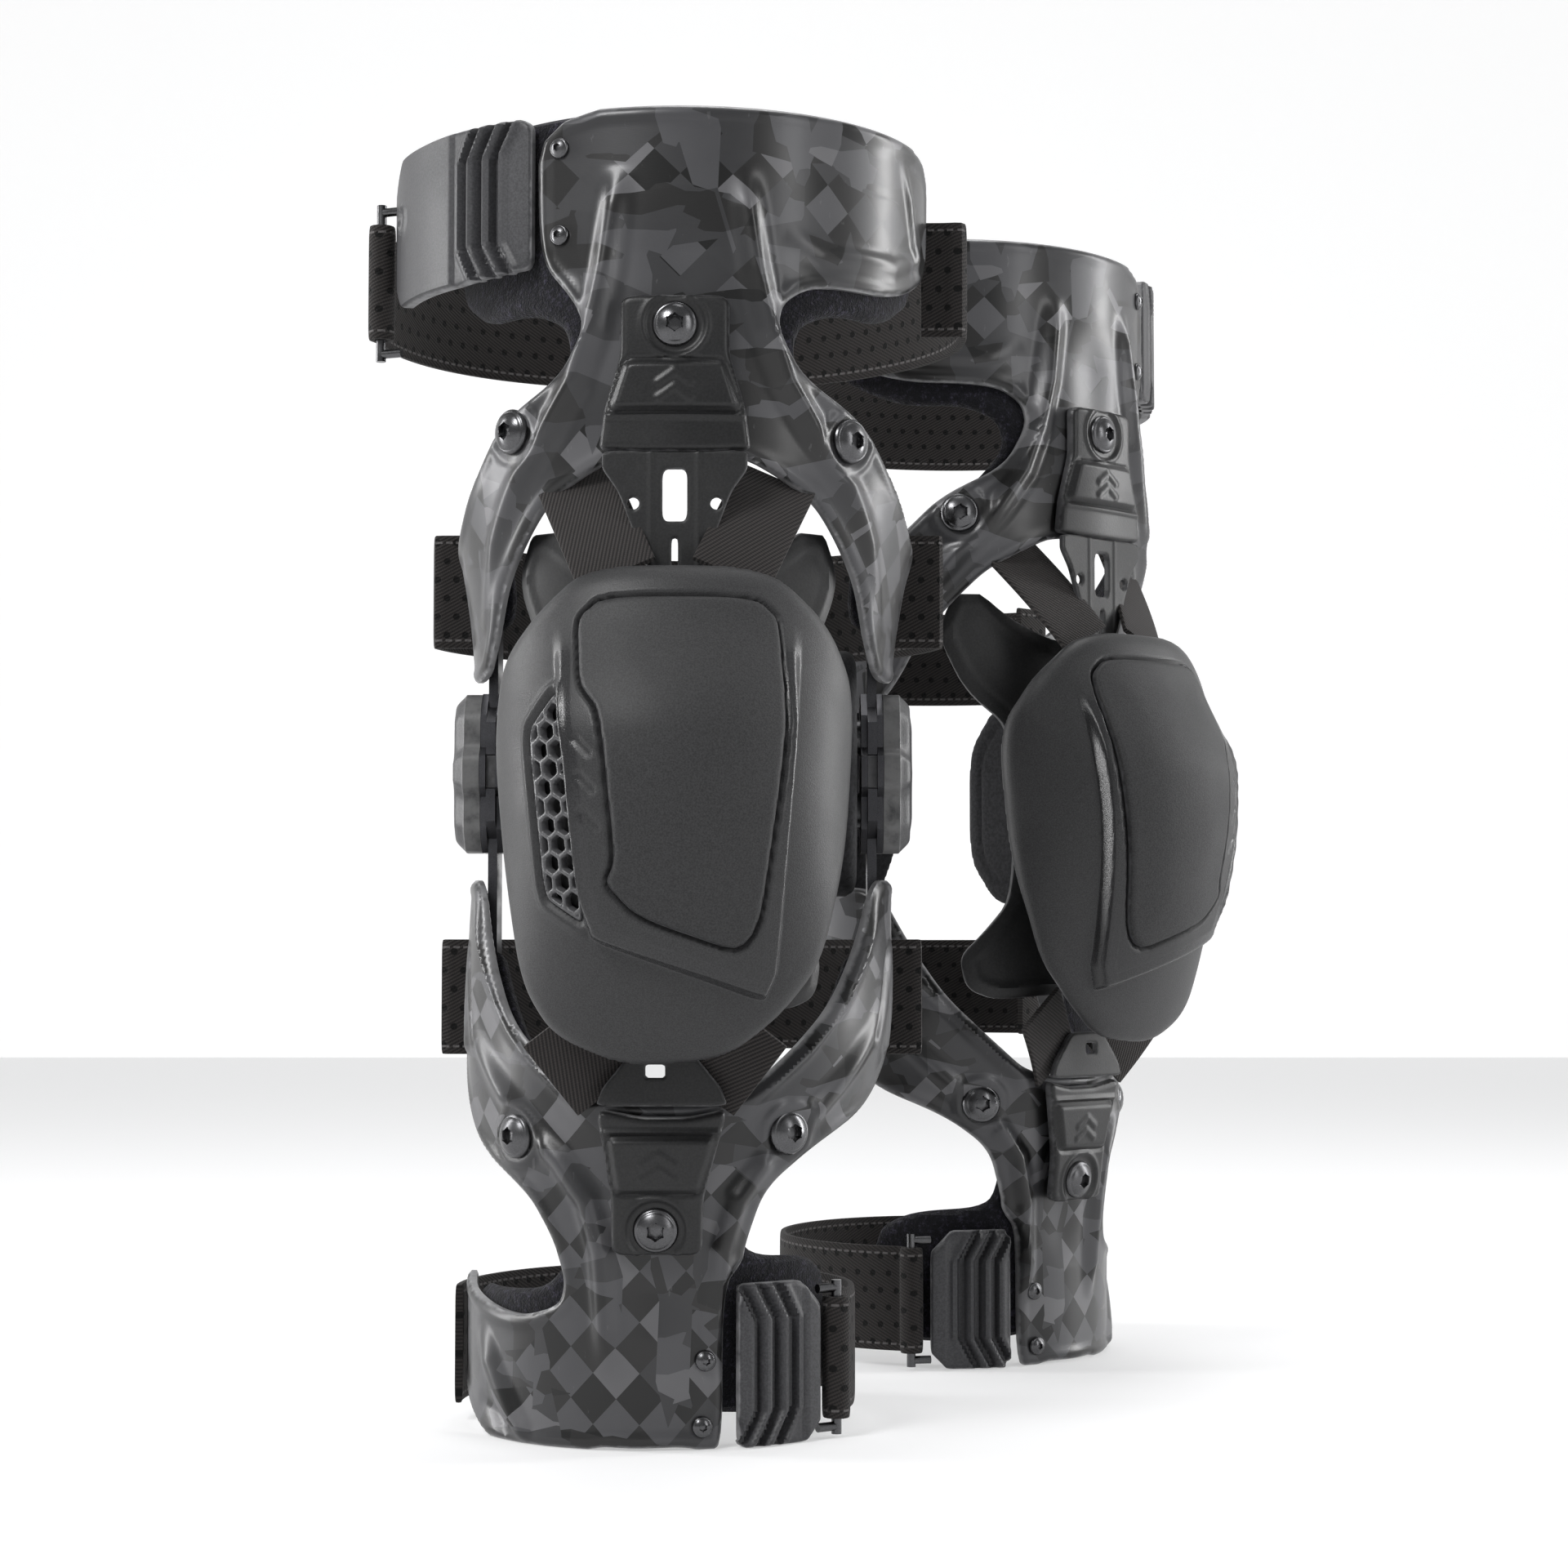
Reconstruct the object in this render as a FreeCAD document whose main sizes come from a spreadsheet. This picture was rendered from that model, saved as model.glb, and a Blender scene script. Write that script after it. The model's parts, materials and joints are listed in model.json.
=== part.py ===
"""Pair of hinged knee braces: a mirror-image pair, each of thirty sub-parts.

Brace frame, in millimetres: +Z up, the leg's axis at x = 0, y = 0, the shin towards -Y.
The hinges stand at +X and -X. Every sub-part is modelled once, for the left brace, and
the right brace holds its mirror image, turned and set beside the first.
"""
import FreeCAD, Part
import math
import os
import Sketcher
from FreeCAD import Placement, Rotation, Vector

DOC = FreeCAD.newDocument("knee_braces")
SHEET = DOC.addObject("Spreadsheet::Sheet", "Sizes")
X_AXIS = Vector(1, 0, 0)
Y_AXIS = Vector(0, 1, 0)
Z_AXIS = Vector(0, 0, 1)
BRACE_NODES = []


# ---------------------------------------------------------------- driving dimensions

def size(alias, number):
    """Store one driving dimension in the sheet."""
    row = size.rows = getattr(size, "rows", 0) + 1
    SHEET.set("A%d" % row, alias)
    SHEET.set("B%d" % row, str(number))
    SHEET.setAlias("B%d" % row, alias)


def fill_sheet():
    """All driving dimensions of one brace and of the pair."""
    # whole brace
    size("top_edge", 410)
    size("knee_height", 210)
    size("shell_thickness", 3)
    size("liner_thickness", 5.5)
    size("liner_gap", 0.8)
    # radii of the two frames, and how far their middles lie from the leg's axis
    size("thigh_cuff_radius", 78)
    size("thigh_knee_radius", 67.3)
    size("thigh_shift_x", 1.5)
    size("thigh_shift_y", -2)
    size("calf_cuff_radius", 60)
    size("calf_bulge_radius", 68.5)
    size("calf_shift_x", -9)
    size("calf_shift_y", 2)
    # geared hinge
    size("gear_spacing", 24)
    size("gear_teeth", 16)
    size("pressure_angle", 25)
    size("backlash", 0.3)
    size("gear_centre_up", 222)
    size("gear_centre_down", 198)
    size("arm_inside", 60.1)
    size("arm_thickness", 3)
    size("arm_width", 17)
    size("arm_length", 49)
    size("plate_thickness", 2)
    size("plate_gap", 0.1)
    size("plate_radius", 15.5)
    size("pin_radius", 4)
    size("pin_clearance", 0.05)
    size("pin_head_radius", 6)
    size("pin_head_depth", 1.2)
    size("cover_depth", 9.6)
    size("cover_wall", 2)
    size("pad_inside", 46)
    size("pad_depth", 10.6)
    size("stop_front", 17)
    size("stop_back", 12)
    size("stop_half_height", 5.2)
    # fasteners
    size("screw_head_radius", 7)
    size("screw_head_height", 3.5)
    size("small_screw_radius", 3.2)
    size("small_screw_height", 1.6)
    size("socket_flats_radius", 2.2)
    # brackets and tongues
    size("thigh_bracket_back", 80.3)
    size("thigh_bracket_depth", 5)
    size("thigh_bracket_top", 351)
    size("thigh_bracket_low", 304)
    size("shin_bracket_back", 60.6)
    size("shin_bracket_tilt", 8)
    size("shin_bracket_depth", 5)
    size("shin_bracket_top", 105)
    size("shin_bracket_low", 60)
    size("tongue_thickness", 2)
    size("tongue_slot_width", 7.5)
    # straps
    size("webbing_width", 38)
    size("webbing_thickness", 3)
    size("hook_radius", 1.6)
    size("fold_radius", 5)
    # cup
    size("cup_rim_back", 68)
    size("cup_wall", 3.5)
    size("cup_inset", 1.5)
    size("cup_half_width", 55.5)
    size("elastic_width", 25)
    size("elastic_thickness", 2.5)
    size("carrier_radius", 66)
    size("carrier_thickness", 2.5)
    # wings
    size("wing_thickness", 4)
    # the pair
    size("pair_offset_x", 92)
    size("pair_offset_y", 174)
    size("pair_yaw", 45)


def value(alias):
    """A driving dimension as a number."""
    return float(SHEET.get(alias))


def bound(text):
    """Turn words in braces into references to the sheet: {arm_width} and the like."""
    return text.replace("{", "Sizes.").replace("}", "")


def number(text):
    """What a bound expression is worth now."""
    return float(SHEET.evalExpression(bound(text)))


# ---------------------------------------------------------------- PartDesign helpers

def new_body(name):
    """An empty PartDesign body."""
    body = DOC.addObject("PartDesign::Body", name)
    body.Label = name
    return body


def new_sketch(body, name, role, offset="0"):
    """A sketch on the body's own plane, moved along that plane's normal."""
    sketch = body.newObject("Sketcher::SketchObject", name)
    plane = [f for f in body.Origin.OriginFeatures if f.Role == role][0]
    sketch.AttachmentSupport = [(plane, "")]
    sketch.MapMode = "FlatFace"
    sketch.setExpression("AttachmentOffset.Base.z", bound(offset))
    return sketch


def polygon(sketch, points):
    """A closed outline whose corners are bound, each (across, up) given in words."""
    first = sketch.GeometryCount
    corners = [Vector(number(a), number(b), 0) for a, b in points]
    for i, corner in enumerate(corners):
        sketch.addGeometry(Part.LineSegment(corner, corners[(i + 1) % len(corners)]))
    for i in range(len(corners)):
        after = first + (i + 1) % len(corners)
        sketch.addConstraint(Sketcher.Constraint("Coincident", first + i, 2, after, 1))
    for i, (across, up) in enumerate(points):
        for kind, words, now in (("DistanceX", across, corners[i].x),
                                 ("DistanceY", up, corners[i].y)):
            constraint = Sketcher.Constraint(kind, -1, 1, first + i, 1, now)
            place = sketch.addConstraint(constraint)
            label = "%s_%d" % (kind, first + i)
            sketch.renameConstraint(place, label)
            sketch.setExpression("Constraints." + label, bound(words))


def circle(sketch, across, up, radius):
    """A bound circle."""
    place = sketch.GeometryCount
    centre = Vector(number(across), number(up), 0)
    sketch.addGeometry(Part.Circle(centre, Z_AXIS, number(radius)))
    for kind, words, now in (("DistanceX", across, centre.x), ("DistanceY", up, centre.y)):
        index = sketch.addConstraint(Sketcher.Constraint(kind, -1, 1, place, 3, now))
        label = "%s_c%d" % (kind, place)
        sketch.renameConstraint(index, label)
        sketch.setExpression("Constraints." + label, bound(words))
    index = sketch.addConstraint(Sketcher.Constraint("Radius", place, number(radius)))
    label = "radius_%d" % place
    sketch.renameConstraint(index, label)
    sketch.setExpression("Constraints." + label, bound(radius))


def pad(body, sketch, length):
    """A pad along the sketch's normal."""
    feature = body.newObject("PartDesign::Pad", sketch.Name + "_pad")
    feature.Profile = sketch
    feature.setExpression("Length", bound(length))
    sketch.Visibility = False
    return feature


def flat_plate(name, role, offset, thickness, outline, holes=(), slots=()):
    """A body: one outline padded, with round holes and straight slots cut through."""
    body = new_body(name)
    sketch = new_sketch(body, name + "_outline", role, offset)
    polygon(sketch, outline)
    for hole in holes:
        circle(sketch, *hole)
    for slot in slots:
        polygon(sketch, slot)
    pad(body, sketch, thickness)
    DOC.recompute()
    return body


# ---------------------------------------------------------------- Part helpers

def feature(name, shape):
    """A Part::Feature that holds a shape made with Part's own functions."""
    part = DOC.addObject("Part::Feature", name)
    part.Label = name
    part.Shape = shape
    return part


def mirrored(source):
    """The same piece on the brace's other side."""
    mirror = DOC.addObject("Part::Mirroring", source.Name + "_mirror")
    mirror.Source = source
    mirror.Base = Vector(0, 0, 0)
    mirror.Normal = X_AXIS
    return mirror


def node(name, *pieces):
    """One named sub-part of the brace, of one or more separate solids."""
    group = DOC.addObject("Part::Compound", "brace_" + name)
    group.Label = "brace_" + name
    group.Links = list(pieces)
    BRACE_NODES.append((name, group))


def tube(stations, inset, stretch=0.0):
    """A solid lofted through level circles, each (height, radius, shift x, shift y)."""
    wires = []
    for index, (height, radius, across, along) in enumerate(stations):
        ends = {0: -stretch, len(stations) - 1: stretch}
        centre = Vector(across, along, height + ends.get(index, 0.0))
        wires.append(Part.Wire([Part.makeCircle(radius - inset, centre)]))
    return Part.makeLoft(wires, True, False)


def radial_cutter(outline, centre, reach=118.0, depth=85.0, roundness=0.38):
    """A wedge-like solid: an outline of (angle from the front, height) seen from the axis.

    The outline is drawn on a cylinder of radius `reach`, its corners rounded by curves
    that start at `roundness` of each side, and then thickened inwards by `depth`.
    """
    surface = Part.Cylinder()
    surface.Radius = reach
    surface.Center = centre
    flat = FreeCAD.Base.Vector2d
    corners = [(math.pi + math.radians(a), height) for a, height in outline]
    count = len(corners)

    def between(start, end, share):
        return flat(start[0] + (end[0] - start[0]) * share,
                    start[1] + (end[1] - start[1]) * share)

    edges = []
    for i, corner in enumerate(corners):
        before = between(corner, corners[i - 1], roundness)
        after = between(corner, corners[(i + 1) % count], roundness)
        following = between(corners[(i + 1) % count], corner, roundness)
        curve = Part.Geom2d.BezierCurve2d()
        curve.setPoles([before, flat(*corner), after])
        edges.append(curve.toShape(surface))
        edges.append(Part.Geom2d.Line2dSegment(after, following).toShape(surface))
    face = Part.Face(surface, Part.Wire(edges))
    solid = face.makeOffsetShape(-depth, 1e-3, fill=True)
    solid.rotate(centre, Z_AXIS, 90)
    return solid


def both_sides(half):
    """A closed outline from its right half, given from the top middle downwards."""
    return half + [(-a, height) for a, height in reversed(half)]


def front_prism(outline, roundness=0.38, near=-150.0, far=-40.0):
    """An outline of (x, z) with rounded corners, carried straight back along Y."""
    corners = [Vector(x, near, z) for x, z in outline]
    edges = []
    count = len(corners)
    for i, corner in enumerate(corners):
        before = corner + (corners[i - 1] - corner) * roundness
        after = corner + (corners[(i + 1) % count] - corner) * roundness
        following = corners[(i + 1) % count] + (corner - corners[(i + 1) % count]) * roundness
        curve = Part.BezierCurve()
        curve.setPoles([before, corner, after])
        edges.append(curve.toShape())
        edges.append(Part.makeLine(after, following))
    return Part.Face(Part.Wire(edges)).extrude(Vector(0, far - near, 0))


def plan_strip(start, middle, end, thickness, low, high):
    """An upright strip whose outer face follows one arc in plan."""
    outer = [Vector(x, y, low) for x, y in (start, middle, end)]
    outer_edge = Part.Arc(*outer).toShape()
    centre = outer_edge.Curve.Center
    share = 1 - thickness / outer_edge.Curve.Radius
    inner = [centre + (p - centre) * share for p in outer]
    edges = [outer_edge, Part.makeLine(outer[2], inner[2]),
             Part.Arc(inner[2], inner[1], inner[0]).toShape(),
             Part.makeLine(inner[0], outer[0])]
    return Part.Face(Part.Wire(edges)).extrude(Vector(0, 0, high - low))


def half_ring(centre_x, centre_y, reach_x, reach_y, thickness, low, high, fronts):
    """A webbing loop round the back of the leg: an oval ring.

    It is cut off at the first of `fronts` on the -X side and the second on the +X side.
    """
    def oval(grow, foot, height):
        major = max(reach_x, reach_y) + grow
        minor = min(reach_x, reach_y) + grow
        curve = Part.Ellipse(Vector(0, 0, 0), major, minor)
        shape = Part.Face(Part.Wire([curve.toShape()])).extrude(Vector(0, 0, height))
        turn = 0 if reach_x >= reach_y else 90
        shape.Placement = Placement(Vector(centre_x, centre_y, foot), Rotation(Z_AXIS, turn))
        return shape

    ring = oval(0, low, high - low).cut(oval(-thickness, low - 1, high - low + 2))
    wide = 200.0
    tall = high - low + 4
    keep = Part.makeBox(wide, wide, tall, Vector(-wide, fronts[0], low - 2))
    keep = keep.fuse(Part.makeBox(wide, wide, tall, Vector(0, fronts[1], low - 2)))
    return ring.common(keep)


def domed_screw(place, outward, radius, height):
    """A low-domed screw head with a hexagonal socket, its flat on `place`."""
    ball_radius = (radius ** 2 + height ** 2) / (2 * height)
    disc = Part.makeCylinder(radius, height)
    dome = disc.common(Part.makeSphere(ball_radius, Vector(0, 0, height - ball_radius)))
    rim = Part.makeCylinder(radius, height * 0.25)
    socket_size = value("socket_flats_radius") * radius / value("screw_head_radius")
    ring = [Vector(socket_size * math.cos(i * math.pi / 3),
                   socket_size * math.sin(i * math.pi / 3), height * 0.45)
            for i in range(7)]
    socket = Part.Face(Part.makePolygon(ring)).extrude(Vector(0, 0, height))
    head = dome.fuse(rim).cut(socket)
    head.Placement = Placement(place, Rotation(Z_AXIS, outward))
    return head


# ---------------------------------------------------------------- frames

def thigh_stations():
    """Level circles of the thigh frame's outer face, from the knee up."""
    knee = value("thigh_knee_radius")
    cuff = value("thigh_cuff_radius")
    across = value("thigh_shift_x")
    along = value("thigh_shift_y")
    return [(228, knee, 0, 0),
            (262, knee + 3.2, across * 0.3, along * 0.3),
            (300, cuff - 1, across * 0.8, along * 0.8),
            (335, cuff, across, along),
            (value("top_edge"), cuff + 0.5, across, along)]


def shin_stations():
    """Level circles of the shin frame's outer face, from the floor up."""
    cuff = value("calf_cuff_radius")
    bulge = value("calf_bulge_radius")
    across = value("calf_shift_x")
    along = value("calf_shift_y")
    return [(0, cuff, across, along),
            (50, cuff + 0.5, across, along),
            (90, cuff + 4, across * 0.55, along * 0.5),
            (120, bulge - 0.5, across * 0.2, 0),
            (150, bulge + 0.5, across * 0.1, 0),
            (190, value("thigh_knee_radius") + 0.2, 0, 0)]


def shell(stations, inset, thickness):
    """The wall between a tube's face, moved inwards, and one further in."""
    return tube(stations, inset).cut(tube(stations, inset + thickness, 1.0))


def thigh_axis():
    """The upright line that the thigh frame's outline is measured about."""
    return Vector(value("thigh_shift_x"), value("thigh_shift_y"), 0)


SHIN_AXIS = Vector(-4, 0.5, 0)


def thigh_frame():
    """Cuff band, neck with two window edges, and the two arms down to the hinges."""
    top = value("top_edge") + 4
    lower_right = [(22.6, 343), (29, 328), (47, 316), (57.5, 302.6), (74, 287), (94, 281),
                   (101, 270), (101, 252), (96, 240), (70, 238.5), (61, 250), (53, 266),
                   (43, 279), (34, 290), (24, 297), (14, 303)]
    right = [(84, top), (84, 372), (59, 358), (32, 357), (24, 351)] + lower_right
    left = [(-a, height) for a, height in reversed(lower_right)]
    left += [(-25, 351), (-35, 366), (-35, top)]
    wall = shell(thigh_stations(), 0, value("shell_thickness"))
    node("thigh_frame", feature("thigh_frame_shell",
                                wall.common(radial_cutter(right + left, thigh_axis()))))


def thigh_liner():
    """Foam inside the frame: it shows past the window edges and stays off the arch."""
    half = [(82, 430), (82, 364), (59, 350), (40, 350), (30, 345), (28, 335), (36, 323),
            (52, 306), (66, 295), (76, 285), (77, 264), (73, 255), (62, 255), (57, 264),
            (57, 288), (42, 302), (22, 310)]
    inset = value("shell_thickness") + value("liner_gap")
    foam = shell(thigh_stations(), inset, value("liner_thickness"))
    node("thigh_liner", feature("thigh_liner_foam",
                                foam.common(radial_cutter(both_sides(half), thigh_axis()))))


def shin_frame():
    """Calf band with a wavy lower edge, neck with two window edges, and two arms."""
    arm_right = [(88, 175), (96, 172), (98, 150), (90, 124), (72, 103), (48, 92), (31.5, 79.5),
                 (26, 62)]
    band_right = [(25.5, 57), (19, 49), (19, -3), (8, 1), (-8.8, 0.5)]
    band_left = [(-20, 1), (-32, -4), (-62, -1), (-80, 8), (-93, 16), (-94, 50), (-84, 46),
                 (-48, 38.5), (-32, 43), (-30, 51)]
    arm_left = [(-34, 64), (-43, 78), (-70, 93), (-90, 116), (-98, 140), (-98, 168),
                (-88, 175)]
    arch = [(-68, 175), (-58, 152), (-47, 130), (-30.5, 115.5), (-19, 106), (19, 106),
            (34.6, 121), (47.4, 135.5), (58, 154), (68, 175)]
    outline = list(reversed(arch)) + arm_left[::-1] + band_left[::-1] + band_right[::-1]
    outline += arm_right[::-1]
    wall = shell(shin_stations(), 0, value("shell_thickness"))
    node("shin_frame", feature("shin_frame_shell",
                               wall.common(radial_cutter(outline, SHIN_AXIS))))


def shin_liner():
    """Foam inside the shin frame and behind its ribbed wing."""
    half_arm = [(78, 152), (78, 128), (62, 106), (45, 98), (30, 86), (25, 70)]
    band = [(29, 58), (62, 56), (80, 48), (82, 4), (-80, 20), (-84, 46), (-60, 46), (-38, 48)]
    arch = [(-16, 96), (16, 96), (34, 110), (46, 126), (56, 142), (62, 152)]
    left_arm = [(-a, height) for a, height in reversed(half_arm)]
    left_arch = [(-62, 152), (-56, 142), (-46, 126), (-34, 110)]
    outline = half_arm + band + left_arm + left_arch + arch
    inset = value("shell_thickness") + value("liner_gap")
    foam = shell(shin_stations(), inset, value("liner_thickness"))
    node("shin_liner", feature("shin_liner_foam",
                               foam.common(radial_cutter(outline, SHIN_AXIS))))


# ---------------------------------------------------------------- wings and hooks

def ribbed(strip, lines, low, high):
    """Cut upright grooves into a strip's outer face, each line an (x, y) on it."""
    groove_width = 3.0
    groove_depth = 2.6
    for x, y in lines:
        groove = Part.makeBox(groove_width, 2 * groove_depth, high - low)
        groove.translate(Vector(-groove_width / 2, -groove_depth, low))
        outward = math.degrees(math.atan2(-x, y)) + 180
        groove.rotate(Vector(0, 0, 0), Z_AXIS, outward)
        groove.translate(Vector(x, y, 0))
        strip = strip.cut(groove)
    return strip


def wing(name, start, middle, end, low, high, lines):
    """A flexible cuff end: a strip that leaves the frame and springs about its root."""
    strip = plan_strip(start, middle, end, value("wing_thickness"), low, high)
    margin = 7.0
    strip = ribbed(strip, lines, low + margin, high - margin)
    node(name, feature(name + "_strip", strip))


def hook(name, rod_x, rod_y, low, high, inward):
    """A bent wire slot: an upright rod with two short legs that reach the wing."""
    radius = value("hook_radius")
    rod = Part.makeCylinder(radius, high - low, Vector(rod_x, rod_y, low))
    reach = Vector(*inward)
    legs = [Part.makeCylinder(0.9 * radius, reach.Length, Vector(rod_x, rod_y, level), reach)
            for level in (low + 1.5 * radius, high - 1.5 * radius)]
    node(name, feature(name + "_wire", rod.multiFuse(legs)))


def strap(name, centre, reach, low, fronts, returns, fold=None):
    """Webbing round the back of the leg.

    Each of its `returns`, (from x, to x), is the end that turns in towards the frame's
    rear edge. A strap that hangs on a wing has a sewn loop round the wing's hook instead.
    """
    thickness = value("webbing_thickness")
    high = low + value("webbing_width")
    web = half_ring(centre[0], centre[1], reach[0], reach[1], thickness, low, high, fronts)
    for start, end in returns:
        front = fronts[0] if end < 0 else fronts[1]
        web = web.fuse(Part.makeBox(end - start, thickness, high - low,
                                    Vector(start, front, low)))
    if fold:
        loop = Part.makeCylinder(value("fold_radius"), high - low, Vector(fold[0], fold[1], low))
        eye = Part.makeCylinder(value("hook_radius") + 0.5, high - low + 4,
                                Vector(fold[0], fold[1], low - 2))
        web = web.fuse(loop).cut(eye)
    node(name, feature(name + "_web", web.removeSplitter()))


def wings_and_straps():
    """Both wings with their hooks, and the four straps."""
    thigh_fold = (-99.8, -3)
    shin_fold = (49.5, -31.5)
    wing("thigh_wing", (-45.4, -66.5), (-77, -42), (-94, -4), 362, value("top_edge"),
         ((-58, -59.3), (-65.5, -53.8)))
    hook("thigh_wing_hook", *thigh_fold, 346, 398, (7.3, -3, 0))
    strap("thigh_strap_upper", (-4.6, 0), (98, 88), 353, (-1, -9.6), [(77.5, 91.5)], thigh_fold)
    strap("thigh_strap_lower", (1, 4), (87, 80), 253, (14, 14), [(-85, -66), (66, 87)])
    wing("shin_wing", (19.6, -53.8), (32.4, -46.6), (44.5, -36.6), 0, 50,
         ((25.4, -51), (31, -47.6)))
    hook("shin_wing_hook", *shin_fold, 1, 49, (-6, -4, 0))
    strap("calf_strap_upper", (-1, 2), (82, 76), 118, (14, 14), [(-82, -66), (64, 80)])
    strap("calf_strap_lower", (-9, 2), (65, 66), 6, (-1, -29), [], shin_fold)


# ---------------------------------------------------------------- brackets, tongues, screws

def thigh_bracket():
    """Moulded bracket: a screw panel, a thicker emblem panel and a plain lip."""
    back = "{thigh_bracket_back}"
    plate = new_body("thigh_bracket_plate")
    panel = new_sketch(plate, "thigh_bracket_panel", "XZ_Plane", back)
    polygon(panel, [("-16.5", "{thigh_bracket_top}"), ("16.5", "{thigh_bracket_top}"),
                    ("16.5", "{thigh_bracket_low} + 29"), ("21.5", "{thigh_bracket_low} + 12"),
                    ("23", "{thigh_bracket_low}"), ("-23", "{thigh_bracket_low}"),
                    ("-21.5", "{thigh_bracket_low} + 12"),
                    ("-16.5", "{thigh_bracket_low} + 29")])
    pad(plate, panel, "{thigh_bracket_depth} * 0.7")
    emblem = new_sketch(plate, "thigh_bracket_emblem", "XZ_Plane", back)
    polygon(emblem, [("-15.5", "{thigh_bracket_low} + 28"), ("15.5", "{thigh_bracket_low} + 28"),
                     ("20.5", "{thigh_bracket_low} + 11"), ("-20.5", "{thigh_bracket_low} + 11")])
    pad(plate, emblem, "{thigh_bracket_depth}")
    node("thigh_bracket", plate)


def shin_bracket():
    """Moulded bracket of the shin frame, wide at the top, with a raised emblem panel."""
    back = "{shin_bracket_back}"
    plate = new_body("shin_bracket_plate")
    panel = new_sketch(plate, "shin_bracket_panel", "XZ_Plane", back)
    polygon(panel, [("-24", "{shin_bracket_top}"), ("16", "{shin_bracket_top}"),
                    ("8.5", "{shin_bracket_low} + 18"), ("8", "{shin_bracket_low}"),
                    ("-19.5", "{shin_bracket_low}"), ("-19.5", "{shin_bracket_low} + 18")])
    pad(plate, panel, "{shin_bracket_depth} * 0.7")
    emblem = new_sketch(plate, "shin_bracket_emblem", "XZ_Plane", back)
    polygon(emblem, [("-21", "{shin_bracket_top} - 8"), ("12.5", "{shin_bracket_top} - 8"),
                     ("7.5", "{shin_bracket_low} + 19"), ("-18.5", "{shin_bracket_low} + 19")])
    pad(plate, emblem, "{shin_bracket_depth}")
    foot = Vector(0, -value("shin_bracket_back"), value("shin_bracket_low"))
    tilt = Rotation(X_AXIS, value("shin_bracket_tilt"))
    plate.Placement = Placement(Vector(0, 0, 0), tilt, foot)
    node("shin_bracket", plate)


def upper_tongue():
    """Plastic tongue under the thigh bracket: a slot, two eyelets and side notches."""
    low = "{thigh_bracket_low}"
    half = "{tongue_slot_width} / 2"
    outline = [("-22", low + " - 0.4"), ("22", low + " - 0.4"), ("22", low + " - 6"),
               ("17", low + " - 13"), ("7", low + " - 40"), ("-7", low + " - 40"),
               ("-17", low + " - 13"), ("-22", low + " - 6")]
    slot = [("-" + half, low + " - 22"), (half, low + " - 22"),
            (half, low + " - 6"), ("-" + half, low + " - 6")]
    eyelets = [("-12.6", low + " - 16.5", "1.9"), ("12.6", low + " - 16.5", "1.9")]
    node("upper_tongue", flat_plate("upper_tongue_plate", "XZ_Plane", "{thigh_bracket_back}",
                                    "{tongue_thickness}", outline, eyelets, [slot]))


def lower_tongue():
    """Plastic tongue above the shin bracket, behind the cup's lower edge."""
    top = "{shin_bracket_top}"
    outline = [("-24", top + " + 0.4"), ("16", top + " + 0.4"), ("14", top + " + 6"),
               ("5", top + " + 17"), ("-13", top + " + 17"), ("-22", top + " + 6")]
    slot = [("-9", top + " + 9"), ("-3", top + " + 9"), ("-3", top + " + 13"),
            ("-9", top + " + 13")]
    node("lower_tongue", flat_plate("lower_tongue_plate", "XZ_Plane", "{shin_bracket_back} + 8.6",
                                    "{tongue_thickness}", outline, (), [slot]))


def on_face(stations, axis, angle, height, lift):
    """A point on a frame's outer face, and the way out there."""
    for below, above in zip(stations, stations[1:]):
        if height <= above[0]:
            share = (height - below[0]) / (above[0] - below[0])
            radius, across, along = [below[i] + (above[i] - below[i]) * share
                                     for i in (1, 2, 3)]
            break
    turn = math.radians(angle)
    outward = Vector(math.sin(turn), -math.cos(turn), 0)
    start = Vector(axis.x - across, axis.y - along, 0)
    inner = start.dot(outward)
    distance = -inner + math.sqrt(inner ** 2 - start.dot(start) + radius ** 2)
    return Vector(axis.x, axis.y, height) + outward * (distance + lift), outward


def screws():
    """Three large and two small domed screws on each frame."""
    big = (value("screw_head_radius"), value("screw_head_height"))
    small = (value("small_screw_radius"), value("small_screw_height"))
    lift = 1.6
    thigh_front = value("thigh_bracket_back") + 0.7 * value("thigh_bracket_depth")
    thigh = [domed_screw(Vector(0, -thigh_front, 342), Vector(0, -1, 0), *big)]
    tilt = math.radians(value("shin_bracket_tilt"))
    down_front = Vector(0, -math.cos(tilt), -math.sin(tilt))
    up_plate = Vector(0, -math.sin(tilt), math.cos(tilt)) * 8
    foot = Vector(-6, -value("shin_bracket_back"), value("shin_bracket_low"))
    middle = foot + up_plate + down_front * (0.7 * value("shin_bracket_depth"))
    shin = [domed_screw(middle, down_front, *big)]
    for angle, height, form in ((-42.5, 313, big), (42, 310, big),
                                (-28.5, 399, small), (-28.5, 372, small)):
        place, outward = on_face(thigh_stations(), thigh_axis(), angle, height, lift)
        thigh.append(domed_screw(place, outward, *form))
    for angle, height, form in ((-45, 95, big), (36, 96.5, big),
                                (13, 27, small), (12, 7, small)):
        place, outward = on_face(shin_stations(), SHIN_AXIS, angle, height, lift + 0.6)
        shin.append(domed_screw(place, outward, *form))
    node("thigh_screws", feature("thigh_screw_heads", Part.makeCompound(thigh)))
    node("shin_screws", feature("shin_screw_heads", Part.makeCompound(shin)))


# ---------------------------------------------------------------- geared hinges

def involute(angle):
    """The involute function."""
    return math.tan(angle) - angle


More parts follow.
